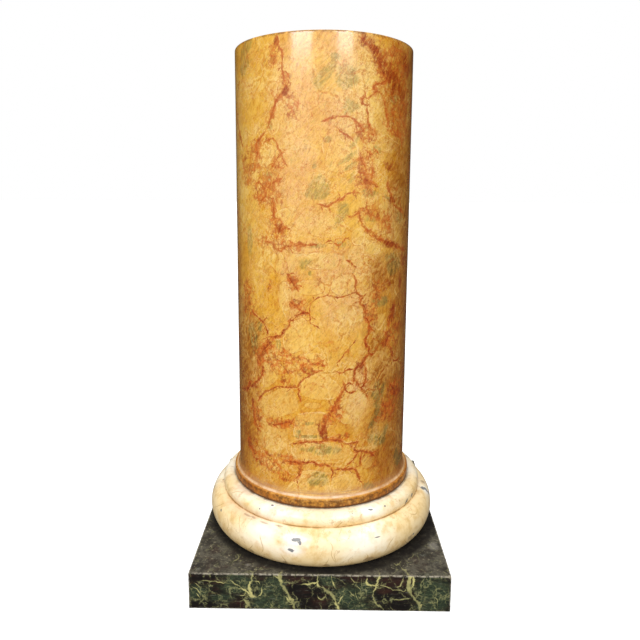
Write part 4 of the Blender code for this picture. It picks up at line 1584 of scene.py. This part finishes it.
class PEDESTAL_OT_plinth(bpy.types.Operator):
    """Model the square plinth with its worn edges, and paint it as dark green marble"""

    bl_idname = "pedestal.plinth"
    bl_label = "Plinth"

    def execute(self, context):
        sizes = context.scene.pedestal_sizes
        piece = self.cut_slab(sizes.plinth_width, sizes.plinth_height, sizes.plinth_edge)
        self.paint(piece, sizes.plinth_width, sizes.plinth_height, sizes.plinth_edge)
        material = DarkGreenMarbling(context.scene.pedestal_colours).build()
        finish_piece(piece, "plinth", material, sharp_angle=30)
        return {"FINISHED"}

    @staticmethod
    def cut_slab(width, height, rounding):
        """A slab with rounded edges, cut finely enough to carry the brushwork."""
        across_cuts, upright_cuts = 140, 24
        deselect_everything()
        bpy.ops.mesh.primitive_cube_add(size=1, location=(0, 0, height / 2))
        piece = bpy.context.active_object
        piece.name = piece.data.name = "marbled_plinth"
        piece.scale = (width, width, height)
        bpy.ops.object.transform_apply(location=True, rotation=True, scale=True)
        bpy.ops.object.mode_set(mode="EDIT")
        bpy.ops.mesh.select_all(action="SELECT")
        bpy.ops.mesh.bevel(offset=rounding, segments=3, affect="EDGES")
        for axis, side, cuts in ((0, width, across_cuts), (1, width, across_cuts), (2, height, upright_cuts)):
            select_edges(piece, runs_along(axis, side / 2))
            bpy.ops.mesh.subdivide(number_cuts=cuts, quadcorner="STRAIGHT_CUT")
        bpy.ops.mesh.select_all(action="SELECT")
        bpy.ops.mesh.normals_make_consistent(inside=False)
        bpy.ops.object.mode_set(mode="OBJECT")
        return piece

    def paint(self, piece, width, height, rounding):
        """Lay out the veins, patches and smudges, the worn edges, and the grime and painted shadow round the
        moulding.
        """
        vertices = vertex_places(piece)
        x, y, z = vertices.T
        half, girth, top_skin = width / 2, 4 * width / MM, height - 0.003
        flat = FlatPiece(piece, self.unrolled(vertices, half, height), girth)

        wear = 0.003
        gaps = np.stack([half - np.abs(x), half - np.abs(y), np.minimum(z, height - z)], axis=1)
        second_nearest = np.sort(gaps, axis=1)[:, 1]
        flat.store("edge", np.clip(1 - (second_nearest - rounding) / wear, 0, 1))

        others = (235, girth - 235, 0, 63)
        side_veins = wandering_veins(31, 60, others, (2, 6), (3, 6), 10)
        top_veins = wandering_veins(35, 16, (-210, 210, 110, 480), (2, 4), (2, 5), 9)
        flat.paint_veins("lichen line", LICHEN_VEINS + side_veins + top_veins, 1.6, 6)
        flat.paint_patches("green", GREEN_PATCHES + scattered(32, 26, others, (10, 28)))
        flat.paint_patches("black", BLACK_PATCHES + scattered(33, 26, others, (8, 22)))
        flat.paint_patches("plum", PLUM_PATCHES + scattered(34, 20, others, (10, 26)))

        # Grime and painted shadow round the moulding's foot, reaching further to the right where the light
        # from the left casts the shadow
        foot_inset, grime_and_shadow_width, more_at_right, soft_edge = 0.012, 0.017, 0.013, 0.009
        from_moulding = np.hypot(x, y) - float(MOULDING_HIGH[0]) + foot_inset
        soil = grime_and_shadow_width + more_at_right * np.clip(x / half, 0, 1)
        flat.store("soil", np.clip((soil - from_moulding) / soft_edge, 0, 1) * (z > top_skin))
        from_above, away = vertices[:, :2] / MM, 10000
        from_above[z < top_skin] += away
        FlatPiece(piece, from_above, OUT_OF_REACH).paint_patches("smudge", SMUDGES)

    @staticmethod
    def unrolled(vertices, half, height):
        """The four sides in a row, in millimetres from the front's middle, and the top over the front."""
        x, y, z = vertices.T
        skin = half - 0.002
        sides = ((y < -skin, x), (x > skin, 2 * half + y), (y > skin, 4 * half - x),
                 (x < -skin, -2 * half - y))
        run = np.select([on_side for on_side, _ in sides], [place for _, place in sides], np.nan)
        level = np.isnan(run)
        run[level] = x[level]
        rise = np.where(level & (z > height / 2), height + half + y, z)
        return np.stack([run / MM, rise / MM], axis=1)


class PEDESTAL_OT_studio(bpy.types.Operator):
    """Lay the pale floor, set the soft lights and place the camera"""

    bl_idname = "pedestal.studio"
    bl_label = "Floor, lights and camera"

    def execute(self, context):
        self.lay_floor()
        self.light_world(context.scene)
        for name, place, size, power in SOFT_LIGHTS:
            self.soft_light(name, place, size, power)
        self.place_camera(context.scene)
        return {"FINISHED"}

    @staticmethod
    def lay_floor():
        """A wide disc of plain floor under the plinth: pale to the camera, darker to light and in gloss."""
        deselect_everything()
        bpy.ops.mesh.primitive_circle_add(vertices=96, radius=60, fill_type="NGON", location=(0, 0, -0.0005))
        floor = bpy.context.active_object
        floor.name = "studio_floor"
        paint = Paint("Pale floor")
        rays = paint.node("LightPath").outputs
        seen = rays["Is Camera Ray"]
        dim = paint.mix(rays["Is Glossy Ray"], grey(0.24), grey(0.015))
        looks = {"Base Color": paint.mix(seen, dim, grey(0.95)), "Roughness": 0.9,
                 "Emission Color": paint.mix(seen, grey(0), grey(0.4)), "Emission Strength": 1.0}
        for name, value in looks.items():
            set_socket(paint.shader.inputs[name], value)
        floor.data.materials.append(paint.material)

    @staticmethod
    def light_world(scene):
        """White to the camera, and for light and gloss a grey sky that is brighter above and in front."""
        world = bpy.data.worlds.new("Studio")
        scene.world = world
        world.use_nodes = True
        world.node_tree.nodes.clear()
        steps = NodeSteps(world.node_tree)
        direction = steps.node("TexCoord").outputs["Generated"]
        axes = steps.node("SeparateXYZ", {0: direction}).outputs
        rays = steps.node("LightPath").outputs
        gloss = rays["Is Glossy Ray"]

        all_round = steps.scaled(gloss, -0.17, 0.18)
        front = steps.fade(axes["Y"], -0.1, -1.0, all_round, 0.6)
        back = steps.fade(axes["Y"], 0.3, 1.0, 0.0, all_round)
        above = steps.fade(axes["Z"], 0.25, 1.0, 0.0, steps.scaled(gloss, -1.0, 1.3))
        left = steps.fade(axes["X"], -0.3, -1.0, 0.0, steps.scaled(gloss, -0.3, 0.3))
        strength = front
        for part in (back, left, above):
            strength = steps.calculate("ADD", strength, part)
        sky = steps.node("Background", {"Color": grey(1), "Strength": strength})
        white = steps.node("Background", {"Color": grey(1), "Strength": 1.0})
        both = steps.node("MixShader", {0: rays["Is Camera Ray"], 1: sky.outputs[0], 2: white.outputs[0]})
        steps.node("OutputWorld", {"Surface": both.outputs[0]})

    @staticmethod
    def soft_light(name, place, size, power):
        """A soft light of a width and a height that points at the pedestal."""
        light = bpy.data.lights.new(name, "AREA")
        light.shape = "RECTANGLE"
        light.size, light.size_y = size
        light.energy = power
        lamp = bpy.data.objects.new(name, light)
        bpy.context.scene.collection.objects.link(lamp)
        lamp.location = place
        x, y, z = np.array(LIGHTS_AIM) - np.array(place)
        lamp.rotation_euler = (math.atan2(math.hypot(x, y), -z), 0, math.atan2(y, x) - math.pi / 2)

    @staticmethod
    def place_camera(scene):
        """The camera stands in front, a little over half the pedestal's height, and looks slightly down."""
        lens = bpy.data.cameras.new("camera")
        lens.sensor_width = 36
        lens.lens = LENS_LENGTH
        lens.shift_y = LENS_SHIFT
        camera = bpy.data.objects.new("camera", lens)
        scene.collection.objects.link(camera)
        scene.camera = camera
        camera.matrix_world = (Matrix.Translation(CAMERA_PLACE) @ Matrix.Rotation(CAMERA_ASIDE, 4, "Z")
                               @ Matrix.Rotation(math.pi / 2 - CAMERA_DOWN, 4, "X")
                               @ Matrix.Rotation(CAMERA_LEAN, 4, "Z"))
        scene.view_settings.view_transform = "Standard"


class PEDESTAL_PT_panel(bpy.types.Panel):
    """The pedestal's operators, sizes and colours in the sidebar"""

    bl_idname = "PEDESTAL_PT_panel"
    bl_label = "Pedestal"
    bl_space_type = "VIEW_3D"
    bl_region_type = "UI"
    bl_category = "Pedestal"

    def draw(self, context):
        for operator in OPERATORS:
            self.layout.operator(operator.bl_idname)
        for group in (context.scene.pedestal_sizes, context.scene.pedestal_colours):
            box = self.layout.box()
            for name in group.bl_rna.properties.keys():
                if name not in {"rna_type", "name"}:
                    box.prop(group, name)


OPERATORS = (PEDESTAL_OT_shaft, PEDESTAL_OT_base_moulding, PEDESTAL_OT_plinth, PEDESTAL_OT_studio)
CLASSES = (PedestalSizes, PedestalColours, *OPERATORS, PEDESTAL_PT_panel)


def register():
    for each in CLASSES:
        bpy.utils.register_class(each)
    bpy.types.Scene.pedestal_sizes = bpy.props.PointerProperty(type=PedestalSizes)
    bpy.types.Scene.pedestal_colours = bpy.props.PointerProperty(type=PedestalColours)


def unregister():
    del bpy.types.Scene.pedestal_colours
    del bpy.types.Scene.pedestal_sizes
    for each in reversed(CLASSES):
        bpy.utils.unregister_class(each)


def main():
    """Model every piece and the studio."""
    register()
    bpy.ops.pedestal.shaft()
    bpy.ops.pedestal.base_moulding()
    bpy.ops.pedestal.plinth()
    bpy.ops.pedestal.studio()


if __name__ == "__main__":
    main()
